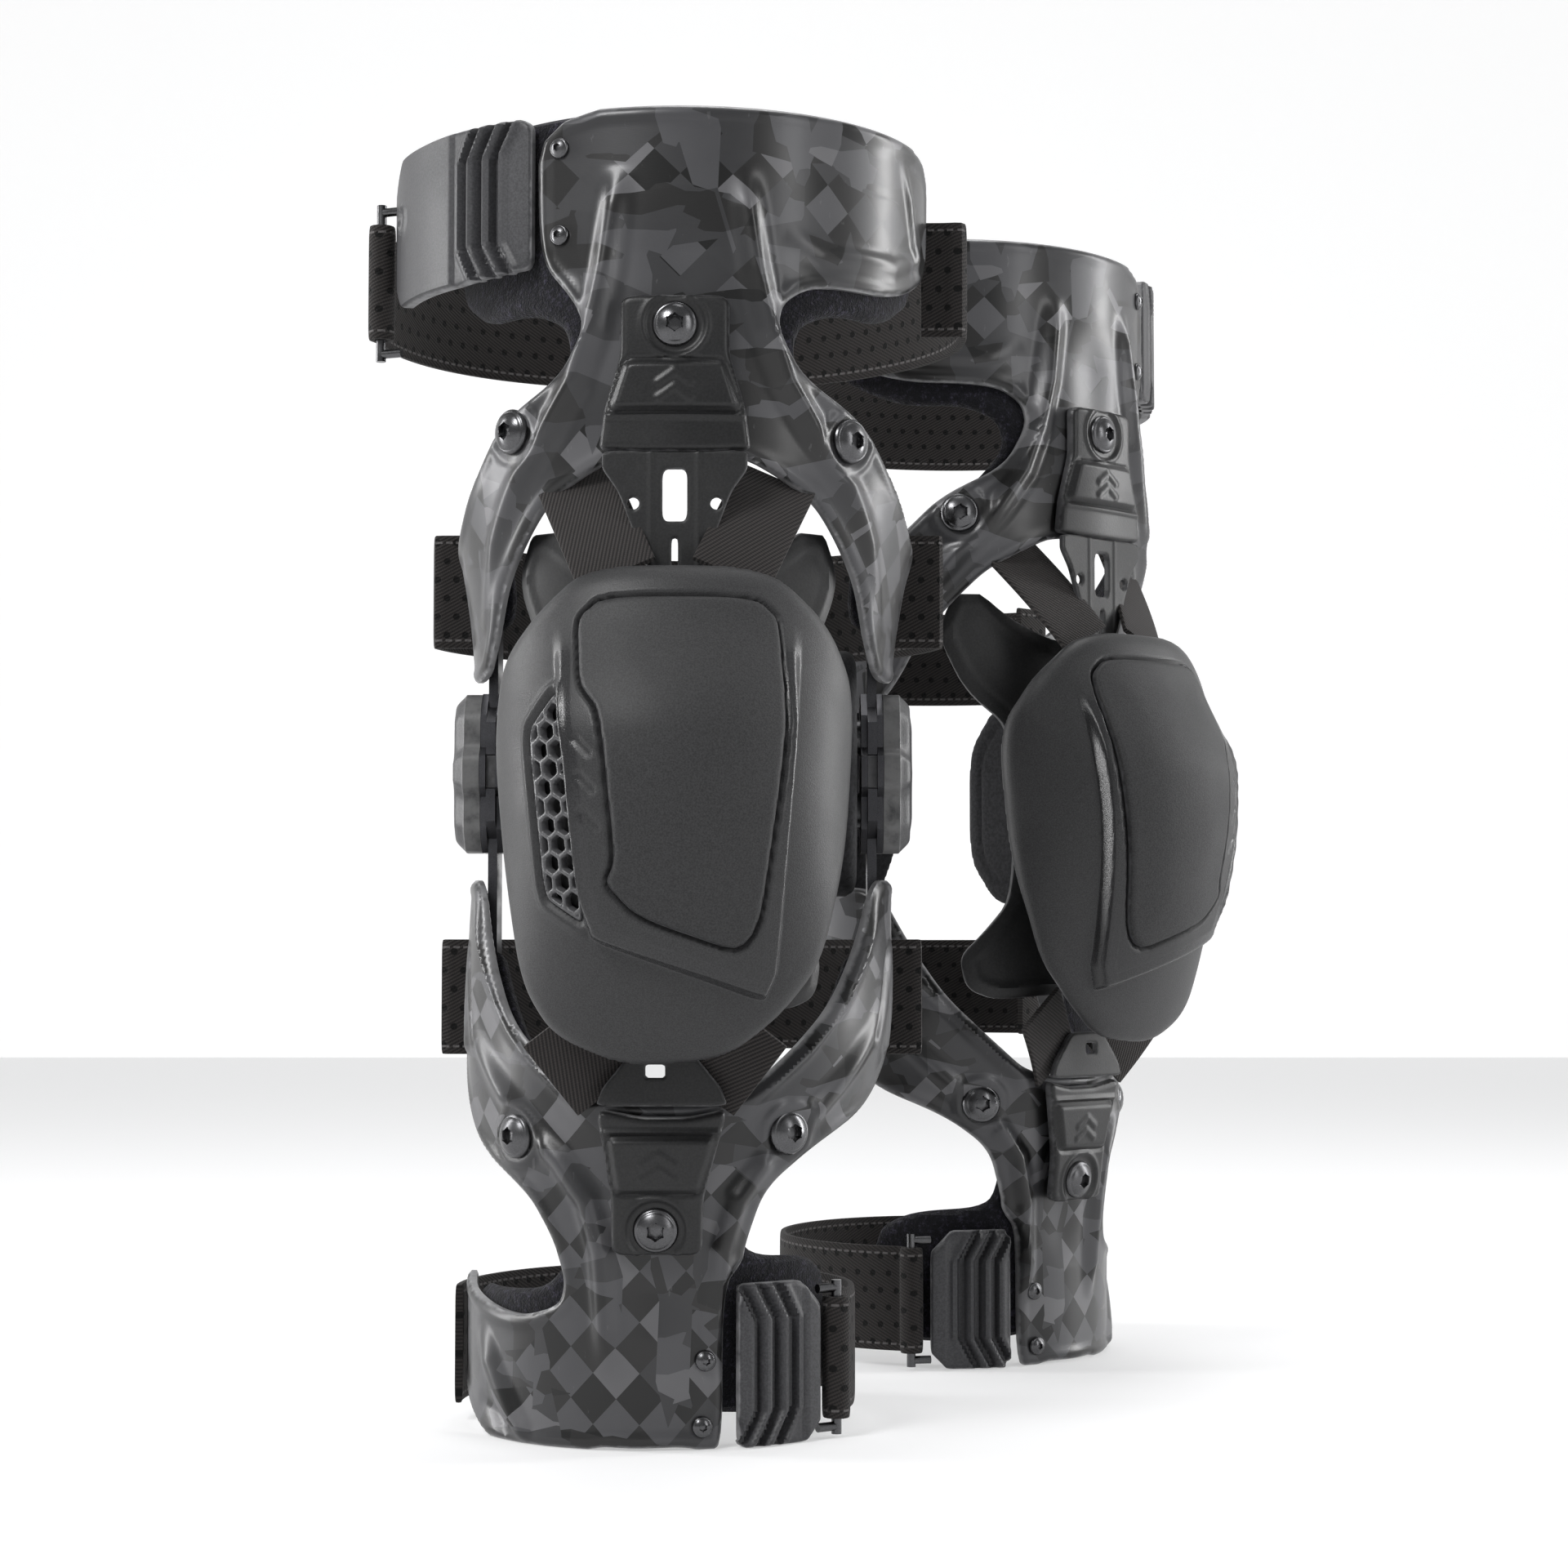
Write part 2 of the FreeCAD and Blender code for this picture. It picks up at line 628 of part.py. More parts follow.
def tooth(direction):
    """One gear tooth as a flat polygon about the gear's centre, pointing `direction`."""
    pitch = value("gear_spacing") / 2
    teeth = value("gear_teeth")
    module = 2 * pitch / teeth
    pressure = math.radians(value("pressure_angle"))
    base = pitch * math.cos(pressure)
    tip = pitch + 0.93 * module
    root = pitch - 1.3 * module
    at_pitch = math.pi / (2 * teeth) - value("backlash") / (2 * pitch)
    steps = 5
    radii = [base + (tip - base) * i / steps for i in range(steps + 1)]
    halves = [at_pitch + involute(pressure) - involute(math.acos(base / r)) for r in radii]
    flank = [(1.0, halves[0]), (root, halves[0])] + list(zip(radii, halves))
    points = [(r, direction + half) for r, half in flank]
    points += [(r, direction - half) for r, half in reversed(flank)]
    corners = [Vector(0, r * math.sin(a), r * math.cos(a)) for r, a in points]
    return Part.Face(Part.makePolygon(corners + corners[:1]))


def geared_arm(name, centre, up, first_tooth):
    """A steel arm, a toothed sector at one end; `up` is +1 for the thigh, -1 for the shin.

    Its heel lies on the stop block when the leg is straight. Teeth stand only where the
    two arms roll on each other between straight and fully bent.
    """
    thickness = value("arm_thickness")
    half = value("arm_width") / 2
    length = value("arm_length")
    step = 2 * math.pi / value("gear_teeth")
    root = value("gear_spacing") / 2 - 1.3 * value("gear_spacing") / value("gear_teeth")
    along = Vector(thickness, 0, 0)
    heel_gap = 0.3
    heel_drop = value("gear_spacing") / 2 - value("stop_half_height") - heel_gap
    shapes = [Part.makeCylinder(root, thickness, Vector(0, 0, 0), X_AXIS)]
    shapes.append(Part.makeBox(thickness, 2 * half, length, Vector(0, -half, 0)))
    heel = [(-half + 1, 10), (-value("stop_front"), 4), (-value("stop_front"), -heel_drop),
            (-value("stop_back"), -heel_drop), (-half + 1, 0)]
    corners = [Vector(0, y, z) for y, z in heel]
    shapes.append(Part.Face(Part.makePolygon(corners + corners[:1])).extrude(along))
    for i in range(-1, 5):
        direction = math.pi - step * (i + first_tooth)
        shapes.append(tooth(direction).extrude(along))
    arm = shapes[0].multiFuse(shapes[1:])
    bore = value("pin_radius") + value("pin_clearance")
    arm = arm.cut(Part.makeCylinder(bore, 3 * thickness, Vector(-thickness, 0, 0), X_AXIS))
    arm = arm.removeSplitter()
    if up < 0:
        arm = arm.mirror(Vector(0, 0, 0), Z_AXIS)
    arm.translate(Vector(value("arm_inside"), 0, centre))
    side = feature(name + "_side", arm)
    node(name, side, mirrored(side))


def hinge_side(name, role, offset, thickness, outline, holes=()):
    """A flat piece of the hinge at +X, and its twin at -X."""
    body = flat_plate(name, role, offset, thickness, outline, holes)
    return [body, mirrored(body)]


def plate_outline():
    """A long octagon round both gear centres, wider in front for the stop block."""
    up = "{gear_centre_up}"
    down = "{gear_centre_down}"
    wide = "{plate_radius} * 0.9"
    slim = "{plate_radius} * 0.42"
    return [("-" + slim, up + " + " + wide), (slim, up + " + " + wide),
            (wide, up + " + " + slim), (wide, down + " - " + slim),
            (slim, down + " - " + wide), ("-" + slim, down + " - " + wide),
            ("-" + wide, down + " - " + slim), ("-" + wide, "{knee_height} - 8"),
            ("-{stop_front} - 1.5", "{knee_height} - 5"),
            ("-{stop_front} - 1.5", "{knee_height} + 5"),
            ("-" + wide, "{knee_height} + 8"), ("-" + wide, up + " + " + slim)]


def hinges():
    """Plates, pins, covers, condyle pads and extension stops of both hinges."""
    holes = [("0", "{gear_centre_up}", "{pin_radius}"), ("0", "{gear_centre_down}", "{pin_radius}")]
    inner_at = "{arm_inside} - {plate_gap} - {plate_thickness}"
    outer_at = "{arm_inside} + {arm_thickness} + {plate_gap}"
    inner = hinge_side("hinge_plate_in", "YZ_Plane", inner_at, "{plate_thickness}",
                       plate_outline(), holes)
    outer = hinge_side("hinge_plate_out", "YZ_Plane", outer_at, "{plate_thickness}",
                       plate_outline(), holes)
    node("hinge_plates", *(inner + outer))

    gap = value("plate_gap")
    plate = value("plate_thickness")
    stack = value("arm_thickness") + 2 * gap + 2 * plate
    inside = value("arm_inside") - gap - plate
    head = value("pin_head_depth")
    pins = []
    for centre in (value("gear_centre_up"), value("gear_centre_down")):
        shaft = Part.makeCylinder(value("pin_radius"), stack, Vector(inside, 0, centre), X_AXIS)
        heads = [Part.makeCylinder(value("pin_head_radius"), head, Vector(x, 0, centre), X_AXIS)
                 for x in (inside - head, inside + stack)]
        pins.append(shaft.multiFuse(heads))
    pin_side = feature("hinge_pin_side", Part.makeCompound(pins))
    node("hinge_pins", pin_side, mirrored(pin_side))

    cover_body = new_body("hinge_cover_cap")
    outside = outer_at + " + {plate_thickness} + 0.1"
    cap = new_sketch(cover_body, "hinge_cover_rim", "YZ_Plane", outside)
    polygon(cap, plate_outline())
    pad(cover_body, cap, "{cover_depth}")
    hollow = new_sketch(cover_body, "hinge_cover_hollow", "YZ_Plane", outside)
    room = "{plate_radius} * 0.9 - {cover_wall}"
    polygon(hollow, [(room, "{gear_centre_up} + 7"), ("-" + room, "{gear_centre_up} + 7"),
                     ("-" + room, "{gear_centre_down} - 7"), (room, "{gear_centre_down} - 7")])
    recess = cover_body.newObject("PartDesign::Pocket", "hinge_cover_recess")
    recess.Profile = hollow
    recess.Reversed = True
    recess.setExpression("Length", bound("{cover_depth} - 3 * {cover_wall}"))
    DOC.recompute()
    top_edges = outer_face_edges(cover_body.Shape)
    chamfer = cover_body.newObject("PartDesign::Chamfer", "hinge_cover_chamfer")
    chamfer.Base = (recess, top_edges)
    chamfer.Size = 4.0
    node("hinge_covers", cover_body, mirrored(cover_body))

    knee = "{knee_height}"
    hexagon = [("-14", knee + " + 40"), ("12", knee + " + 40"), ("26", knee + " + 22"),
               ("26", knee + " - 22"), ("12", knee + " - 40"), ("-14", knee + " - 40"),
               ("-24", knee + " - 20"), ("-24", knee + " + 20")]
    foam = hinge_side("condyle_pad", "YZ_Plane", "{pad_inside}", "{pad_depth}", hexagon)
    node("condyle_pads", *foam)

    block = [("-{stop_front}", knee + " - {stop_half_height}"),
             ("-{stop_back} - 0.5", knee + " - {stop_half_height}"),
             ("-{stop_back} - 0.5", knee + " + {stop_half_height}"),
             ("-{stop_front}", knee + " + {stop_half_height}")]
    stop = hinge_side("extension_stop", "YZ_Plane", "{arm_inside}", "{arm_thickness}", block)
    node("extension_stops", *stop)


def outer_face_edges(shape):
    """Names of the edges round the face that looks furthest outwards."""
    limit = shape.BoundBox.XMax - 1e-4
    return ["Edge%d" % (i + 1) for i, edge in enumerate(shape.Edges)
            if edge.BoundBox.XMin > limit]


# ---------------------------------------------------------------- knee cup

def cup_stations():
    """Level half ovals of the cup: (height, half width, depth in front of the rim)."""
    wide = value("cup_half_width")
    return [(110, wide - 8, 22), (135, wide - 3, 35), (170, wide - 1, 48), (205, wide, 54),
            (240, wide, 47), (275, wide - 5, 31)]


def cup_solid(inset):
    """The cup's outer form moved inwards, solid, in front of its rim plane."""
    back = -value("cup_rim_back")
    wires = []
    for height, wide, deep in cup_stations():
        major = wide - inset
        minor = deep - inset
        curve = Part.Ellipse(Vector(0, 0, 0), major, minor)
        wire = Part.Wire([curve.toShape()])
        wire.Placement = Placement(Vector(0, back, height), Rotation())
        wires.append(wire)
    solid = Part.makeLoft(wires, True, False)
    room = 200.0
    front = Part.makeBox(room, room, 2 * room, Vector(-room / 2, back - room, 0))
    return solid.common(front)


def cup_edge():
    """The cup's outline from the front, as (x, z)."""
    return [(-26, 268), (29, 268), (48, 251), (55.6, 232), (53, 180), (46, 148), (33, 132),
            (16, 119), (-14, 116.5), (-37, 126), (-47, 142), (-52, 175), (-55.4, 215),
            (-53, 240), (-42, 254)]


def vent_edge(grow):
    """The vent's four-sided outline, grown by a margin."""
    return [(-42 - grow, 217), (-33 + grow * 0.4, 229 + grow), (-25 + grow, 160 - grow),
            (-37 - grow * 0.4, 168 - grow)]


def insert_edge(grow):
    """The soft inset's outline, grown by a margin."""
    return [(-29 - grow, 250 + grow), (-21, 257.5 + grow), (25, 257.5 + grow),
            (33 + grow, 250), (31.5 + grow, 214), (23.5 + grow, 151 - grow),
            (-9, 163 - grow), (-18 - grow, 173), (-15 - grow, 180), (-19 - grow, 220),
            (-26 - grow, 229)]


def knee_cup():
    """Cup shell with a pocket and a vent window, its inset pad, its vent and its carrier."""
    outline = front_prism(cup_edge())
    outer = cup_solid(0)
    inset_solid = cup_solid(value("cup_inset"))
    rind = outer.cut(cup_solid(value("cup_wall"))).common(outline)
    fit = 0.3
    pocket_room = front_prism(insert_edge(fit), 0.3)
    window = front_prism(vent_edge(fit), 0.15)
    cup = rind.cut(pocket_room.cut(inset_solid)).cut(window)
    node("cup_shell", feature("cup_shell_wall", cup))

    proud = cup_solid(-0.6).cut(inset_solid)
    node("cup_insert", feature("cup_insert_pad", proud.common(front_prism(insert_edge(0), 0.3))))

    grille = outer.cut(cup_solid(value("cup_wall") - 0.4)).common(front_prism(vent_edge(0), 0.15))
    cell = 3.1
    pitch_up = cell * 2.3
    pitch_across = cell * 2.0
    for row in range(9):
        for column in (0, 1):
            x = -38.5 + column * pitch_across + row * 0.75
            z = 213.5 - row * pitch_up - column * pitch_up / 2
            if z < 164:
                continue
            ring = [Vector(x + cell * math.cos(i * math.pi / 3), -150,
                           z + cell * math.sin(i * math.pi / 3)) for i in range(7)]
            hole = Part.Face(Part.makePolygon(ring)).extrude(Vector(0, 110, 0))
            grille = grille.cut(hole)
    node("cup_vent", feature("cup_vent_grille", grille))


def cup_carrier():
    """Thin curved back plate behind the cup, with four wings."""
    radius = value("carrier_radius")
    thickness = value("carrier_thickness")
    low = 116.0
    high = 282.0
    wall = Part.makeCylinder(radius + thickness, high - low, Vector(0, 0, low))
    wall = wall.cut(Part.makeCylinder(radius, high - low + 2, Vector(0, 0, low - 1)))
    outline = [(-12, 266), (-30, 274), (-44, 288), (-51, 268), (-42, 246), (-40, 200), (-45, 164),
               (-47, 147), (-36, 134), (-12, 136), (12, 136), (36, 134), (47, 147), (45, 164),
               (40, 200), (42, 246), (51, 268), (44, 288), (30, 274), (12, 266)]
    plate = wall.common(front_prism(outline, 0.38, -110.0, -20.0))
    node("cup_carrier", feature("cup_carrier_plate", plate))


def elastic(start, end, name):
    """A flat elastic strap between two points, its width square to its run."""
    run = end - start
    wide = value("elastic_width")
    thick = value("elastic_thickness")
    strip = Part.makeBox(wide, thick, run.Length, Vector(-wide / 2, -thick / 2, 0))
    across = run.cross(Y_AXIS)
    across.normalize()
    turn = Rotation(across, run.cross(across), run, "ZXY")
    strip.Placement = Placement(start, turn)
    return feature(name, strip)


def elastics():
    """Four elastics: two from the thigh arms, two from the shin arms, to the cup."""
    upper = [elastic(Vector(side * 34.5, -61.5, 287), Vector(side * 19, -88, 262),
                     "elastic_upper_%d" % (side > 0)) for side in (-1, 1)]
    lower = [elastic(Vector(-6 + side * 27, -73, 133), Vector(-6 + side * 9, -65.6, 115),
                     "elastic_lower_%d" % (side > 0)) for side in (-1, 1)]
    node("cup_elastics", *(upper + lower))


# ---------------------------------------------------------------- the pair

def check_states():
    """Stop if any object of the document failed."""
    for item in DOC.Objects:
        if "Invalid" in item.State or "Error" in item.State:
            raise RuntimeError("%s: %s" % (item.Label, item.State))


def finished(name, part, placement):
    """Check one sub-part and write its file."""
    part.Label = name
    part.Placement = placement
    DOC.recompute()
    shape = part.Shape
    if shape.isNull() or not shape.isValid() or not shape.Solids:
        raise RuntimeError(name + " is not a valid solid")
    return part


def build_pair():
    """Place the left brace, mirror and place the right one, and write all files."""
    turn = Rotation(Z_AXIS, value("pair_yaw"))
    offset = Vector(value("pair_offset_x"), value("pair_offset_y"), 0)
    lefts = []
    rights = []
    for name, group in BRACE_NODES:
        left = DOC.addObject("Part::Compound", "left_" + name)
        left.Links = [group]
        right = DOC.addObject("Part::Mirroring", "right_" + name)
        right.Source = group
        right.Normal = X_AXIS
        lefts.append(finished("left_" + name, left, Placement()))
        rights.append(finished("right_" + name, right, Placement(offset, turn)))
    box = FreeCAD.BoundBox()
    for part in lefts + rights:
        shape = part.Shape.copy()
        box.add(shape.optimalBoundingBox(False, False))
    centre = Vector(box.Center.x, box.Center.y, box.ZMin)
    print("pair centre", centre, "size", box.XLength, box.YLength, box.ZLength)
    for part in lefts:
        part.Placement = Placement(-centre, Rotation())
    for part in rights:
        part.Placement = Placement(offset - centre, turn)
    DOC.recompute()
    check_states()
    os.makedirs("parts", exist_ok=True)
    for part in lefts + rights:
        print("%-28s solids %d  volume %.0f" % (part.Label, len(part.Shape.Solids),
                                                part.Shape.Volume))
        part.Shape.exportStep("parts/%s.step" % part.Label)


fill_sheet()
DOC.recompute()
thigh_frame()
thigh_liner()
shin_frame()
shin_liner()
wings_and_straps()
thigh_bracket()
shin_bracket()
upper_tongue()
lower_tongue()
screws()
geared_arm("thigh_hinge_arms", value("gear_centre_up"), 1, 0.5)
geared_arm("shin_hinge_arms", value("gear_centre_down"), -1, 0.0)
hinges()
knee_cup()
cup_carrier()
elastics()
DOC.recompute()
check_states()
build_pair()
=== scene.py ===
"""Visual model of a pair of hinged knee braces.

All sizes are millimetres in the brace's own frame: +Z up, the leg's axis at x = 0, y = 0,
the shin towards -Y and the hinges at +X and -X. `Site` carries a finished surface to its
place in the row frame, in metres, and mirrors it for the right brace.
"""

import json
import logging
import math
from collections.abc import Callable, Sequence
from dataclasses import dataclass, field
from enum import Enum

import bpy
import numpy as np
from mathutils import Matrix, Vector

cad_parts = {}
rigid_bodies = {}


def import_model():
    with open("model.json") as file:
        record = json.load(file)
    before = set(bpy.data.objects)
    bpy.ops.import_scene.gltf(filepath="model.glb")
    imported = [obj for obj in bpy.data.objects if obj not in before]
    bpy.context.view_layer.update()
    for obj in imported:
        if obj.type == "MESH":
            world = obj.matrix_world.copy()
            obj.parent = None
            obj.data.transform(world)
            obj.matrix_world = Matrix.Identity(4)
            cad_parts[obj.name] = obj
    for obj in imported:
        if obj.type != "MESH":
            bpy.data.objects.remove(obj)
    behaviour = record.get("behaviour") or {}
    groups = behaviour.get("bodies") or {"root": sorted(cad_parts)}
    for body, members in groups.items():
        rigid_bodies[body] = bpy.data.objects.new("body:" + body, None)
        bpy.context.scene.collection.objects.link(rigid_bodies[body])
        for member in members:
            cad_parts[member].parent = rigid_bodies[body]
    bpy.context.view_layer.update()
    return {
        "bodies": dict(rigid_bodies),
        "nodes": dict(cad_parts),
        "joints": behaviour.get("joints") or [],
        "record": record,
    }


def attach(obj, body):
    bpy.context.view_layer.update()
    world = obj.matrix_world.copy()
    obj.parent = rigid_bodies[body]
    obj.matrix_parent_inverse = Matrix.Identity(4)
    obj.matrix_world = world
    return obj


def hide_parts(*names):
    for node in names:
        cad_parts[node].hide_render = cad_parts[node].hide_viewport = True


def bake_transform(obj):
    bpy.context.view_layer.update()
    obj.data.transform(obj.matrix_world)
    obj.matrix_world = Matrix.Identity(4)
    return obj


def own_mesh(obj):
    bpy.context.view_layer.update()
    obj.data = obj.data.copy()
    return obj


LOG = logging.getLogger("knee_braces")
Array = np.ndarray
Points = Sequence[tuple[float, float]]
MM = 0.001
KNEE_HEIGHT = 210.0


class Side(Enum):
    """Which of the two braces."""

    LEFT = "left"
    RIGHT = "right"


# ------------------------------------------------------------------ numbers and outlines


def smooth(value: Array, low: float, high: float) -> Array:
    """Rise from 0 at `low` to 1 at `high` with level ends."""
    share = np.clip((value - low) / (high - low), 0.0, 1.0)
    return share * share * (3.0 - 2.0 * share)


def rounded(corners: Points, share: float = 0.38, steps: int = 6) -> Array:
    """Round a closed outline's corners.

    Each corner becomes a quadratic curve that starts and ends at `share` of its sides.

    Args:
        corners: the outline's corners in order.
        share: how far along each side the curve starts.
        steps: points on each curve.

    Returns:
        The closed outline as an array of points.
    """
    corner = np.asarray(corners, float)
    before = corner + (np.roll(corner, 1, 0) - corner) * share
    after = corner + (np.roll(corner, -1, 0) - corner) * share
    t = np.linspace(0.0, 1.0, steps)[None, :, None]
    curve = ((1 - t) ** 2 * before[:, None] + 2 * t * (1 - t) * corner[:, None]
             + t * t * after[:, None])
    return curve.reshape(-1, 2)


def bell(value: Array, at: float, width: float) -> Array:
    """A bump: 1 at `at`, falling as the exponential of the squared distance over `width`."""
    return np.exp(-((value - at) / width) ** 2)


def run_lengths(line: Array) -> Array:
    """Length passed at each point of a line, from nothing at its first."""
    return np.concatenate([[0], np.cumsum(np.linalg.norm(np.diff(line, axis=0), axis=1))])


def both_sides(half: Points) -> list[tuple[float, float]]:
    """Close an outline from its right half, given from the top middle downwards."""
    return list(half) + [(-a, z) for a, z in reversed(half)]


def inside_distance(points: Array, outline: Array) -> Array:
    """Distance to a closed outline, positive inside it.

    The nearest point of every side is found, and the sign comes from counting how many
    sides a level ray crosses.

    Args:
        points: (n, 2) places.
        outline: (m, 2) closed outline.

    Returns:
        (n,) distances.
    """
    start = outline
    run = np.roll(outline, -1, 0) - outline
    length = np.maximum((run ** 2).sum(1), 1e-12)
    rise = np.where(np.abs(run[:, 1]) < 1e-9, 1e-9, run[:, 1])
    result = np.empty(len(points))
    chunk = 8000
    for first in range(0, len(points), chunk):
        p = points[first:first + chunk, None]
        offset = p - start
        t = np.clip((offset * run).sum(2) / length, 0.0, 1.0)
        gap = ((offset - t[..., None] * run) ** 2).sum(2).min(1)
        up = p[..., 1]
        straddles = (start[:, 1] > up) != ((start[:, 1] + run[:, 1]) > up)
        ahead = p[..., 0] < start[:, 0] + (up - start[:, 1]) * run[:, 0] / rise
        inside = (straddles & ahead).sum(1) % 2 == 1
        result[first:first + chunk] = np.where(inside, 1.0, -1.0) * np.sqrt(gap)
    return result


def path_distance(points: Array, path: Array) -> tuple[Array, Array]:
    """Distance to an open path, and the share of the path's nodes passed there.

    Args:
        points: (n, 2) places.
        path: (m, 2) nodes.

    Returns:
        Distances, and the nearest place as a fractional node number.
    """
    best = np.full(len(points), 1e9)
    place = np.zeros(len(points))
    for index in range(len(path) - 1):
        run = path[index + 1] - path[index]
        t = np.clip(((points - path[index]) @ run) / max(run @ run, 1e-9), 0.0, 1.0)
        gap = np.hypot(*(points - path[index] - t[:, None] * run).T)
        nearer = gap < best
        best = np.where(nearer, gap, best)
        place = np.where(nearer, index + t, place)
    return best, place


def ridge(points: Array, nodes: Sequence[tuple[float, float, float]], width: float,
          sharpness: float = 1.0) -> Array:
    """Height of a ridge along a path: full on the path, nothing at `width` from it.

    Args:
        points: (n, 2) places.
        nodes: the path as (across, up, height) triples.
        width: half width of the ridge's foot.
        sharpness: 1 for a rounded crest, more for a crisp one.

    Returns:
        (n,) heights.
    """
    path = np.asarray(nodes, float)
    gap, place = path_distance(points, path[:, :2])
    height = np.interp(place, np.arange(len(path)), path[:, 2])
    return height * (1.0 - smooth(gap, 0.0, width)) ** sharpness


# ------------------------------------------------------------------ trimmed surfaces


@dataclass
class Patch:
    """A grid of places cut to an outline.

    `place` is (n, 2), `edge` the distance of each place from the outline, and `border`
    the directed edges that only one face uses.
    """

    place: Array
    edge: Array
    quads: Array
    tris: Array
    border: Array


def trimmed(inside: Callable[[Array], Array], low: tuple[float, float],
            high: tuple[float, float], step: float) -> Patch:
    """Cut a square grid to a shape.

    Places near the shape's edge are moved onto it along the distance's slope. A cell
    with four kept corners gives a quad, and one with three gives a triangle.

    Args:
        inside: signed distance to the shape's edge, positive inside.
        low: lowest corner of the grid.
        high: highest corner of the grid.
        step: the grid's spacing.

    Returns:
        The cut grid.
    """
    across = np.arange(low[0] - step, high[0] + 2 * step, step)
    up = np.arange(low[1] - step, high[1] + 2 * step, step)
    grid = np.stack(np.meshgrid(across, up), -1).reshape(-1, 2)
    distance = inside(grid)
    near = np.flatnonzero((distance > -0.62 * step) & (distance < 0.42 * step))
    tiny = 0.02
    for _ in range(2):
        spot = grid[near]
        here = inside(spot)
        slope = np.stack([inside(spot + [tiny, 0]) - here, inside(spot + [0, tiny]) - here],
                         1) / tiny
        steep = np.maximum((slope ** 2).sum(1), 0.25)
        grid[near] = spot - slope * (here / steep)[:, None]
    distance[near] = 0.0
    kept = distance >= 0.0
    columns = len(across)
    corner = (np.arange(len(up) - 1)[:, None] * columns + np.arange(columns - 1)).reshape(-1)
    cells = np.stack([corner, corner + 1, corner + 1 + columns, corner + columns], 1)
    whole = kept[cells].sum(1)
    quads = cells[whole == 4]
    partial = cells[whole == 3]
    tris = np.concatenate([
        np.roll(partial[~kept[partial[:, k]]], -k - 1, 1)[:, :3] for k in range(4)])
    used = np.zeros(len(grid), bool)
    used[quads] = True
    used[tris] = True
    number = np.cumsum(used) - 1
    quads, tris = number[quads], number[tris]
    count = int(used.sum())
    edges = np.concatenate([quads[:, [k, (k + 1) % 4]] for k in range(4)]
                           + [tris[:, [k, (k + 1) % 3]] for k in range(3)])
    alone = ~np.isin(edges[:, 0] * count + edges[:, 1], edges[:, 1] * count + edges[:, 0])
    return Patch(grid[used], distance[used], quads, tris, edges[alone])


def outline_patch(outline: Array, step: float, holes: Sequence[Array] = ()) -> Patch:
    """Cut a grid to an outline with holes."""
    def inside(points: Array) -> Array:
        """Signed distance, positive inside the outline and outside every hole."""
        distance = inside_distance(points, outline)
        for hole in holes:
            distance = np.minimum(distance, -inside_distance(points, hole))
        return distance
    return trimmed(inside, tuple(outline.min(0)), tuple(outline.max(0)), step)


@dataclass
class Surface:
    """A mesh in the making: places, faces, a flat map and the distance from its edge."""

    points: Array
    faces: list[Array]
    flat: Array
    edge: Array
    polish: Array | None = None

    @staticmethod
    def joined(parts: Sequence["Surface"]) -> "Surface":
        """One surface out of several that don't touch."""
        shift = np.cumsum([0] + [len(p.points) for p in parts[:-1]])
        faces = [f + s for p, s in zip(parts, shift) for f in p.faces]
        return Surface(np.concatenate([p.points for p in parts]), faces,
                       np.concatenate([p.flat for p in parts]),
                       np.concatenate([p.edge for p in parts]))

    def mirrored(self) -> "Surface":
        """The same surface on the brace's other side, turned right side out."""
        return Surface(self.points * [-1, 1, 1], [f[:, ::-1] for f in self.faces],
                       self.flat * [-1, 1], self.edge)


Placer = Callable[[Array, Array], Array]


def slab(patch: Patch, place: Placer, outer: Array, inner: Array) -> Surface:
    """Thicken a cut grid into a closed piece.

    The outer and inner faces are the grid placed at two heights, and a strip along the
    border joins them.

    Args:
        patch: the cut grid.
        place: puts grid places at heights into space.
        outer: height of the outer face at each place.
        inner: height of the inner face.

    Returns:
        The closed surface.
    """
    count = len(patch.place)
    a, b = patch.border.T
    wall = np.stack([b, a, a + count, b + count], 1)
    faces = [patch.quads, patch.tris, patch.quads[:, ::-1] + count,
             patch.tris[:, ::-1] + count, wall]
    points = np.concatenate([place(patch.place, outer), place(patch.place, inner)])
    return Surface(points, [f for f in faces if len(f)],
                   np.tile(patch.place, (2, 1)), np.tile(patch.edge, 2))


def pillow(edge: Array, reach: float) -> Array:
    """Share of full thickness at a distance from the edge: a quarter circle."""
    inner = 1.0 - np.clip(edge / reach, 0.0, 1.0)
    return np.sqrt(np.maximum(1.0 - inner ** 2, 0.0))


def spline_table(heights: Array, values: Array, at: Array) -> Array:
    """Natural cubic curve through a table's rows, each column on its own.

    Args:
        heights: (n,) rising places of the rows.
        values: (n, k) rows.
        at: (m,) places wanted.

    Returns:
        (m, k) values.
    """
    n = len(heights)
    h = np.diff(heights)
    matrix = np.eye(n)
    right = np.zeros_like(values)
    for i in range(1, n - 1):
        matrix[i, i - 1:i + 2] = h[i - 1], 2 * (h[i - 1] + h[i]), h[i]
        right[i] = 6 * ((values[i + 1] - values[i]) / h[i]
                        - (values[i] - values[i - 1]) / h[i - 1])
    bend = np.linalg.solve(matrix, right)
    k = np.clip(np.searchsorted(heights, at) - 1, 0, n - 2)
    t = (at - heights[k])[:, None]
    step = h[k][:, None]
    slope = (values[k + 1] - values[k]) / step - step * (2 * bend[k] + bend[k + 1]) / 6
    cubic = (bend[k + 1] - bend[k]) / (6 * step)
    return values[k] + slope * t + bend[k] / 2 * t ** 2 + cubic * t ** 3


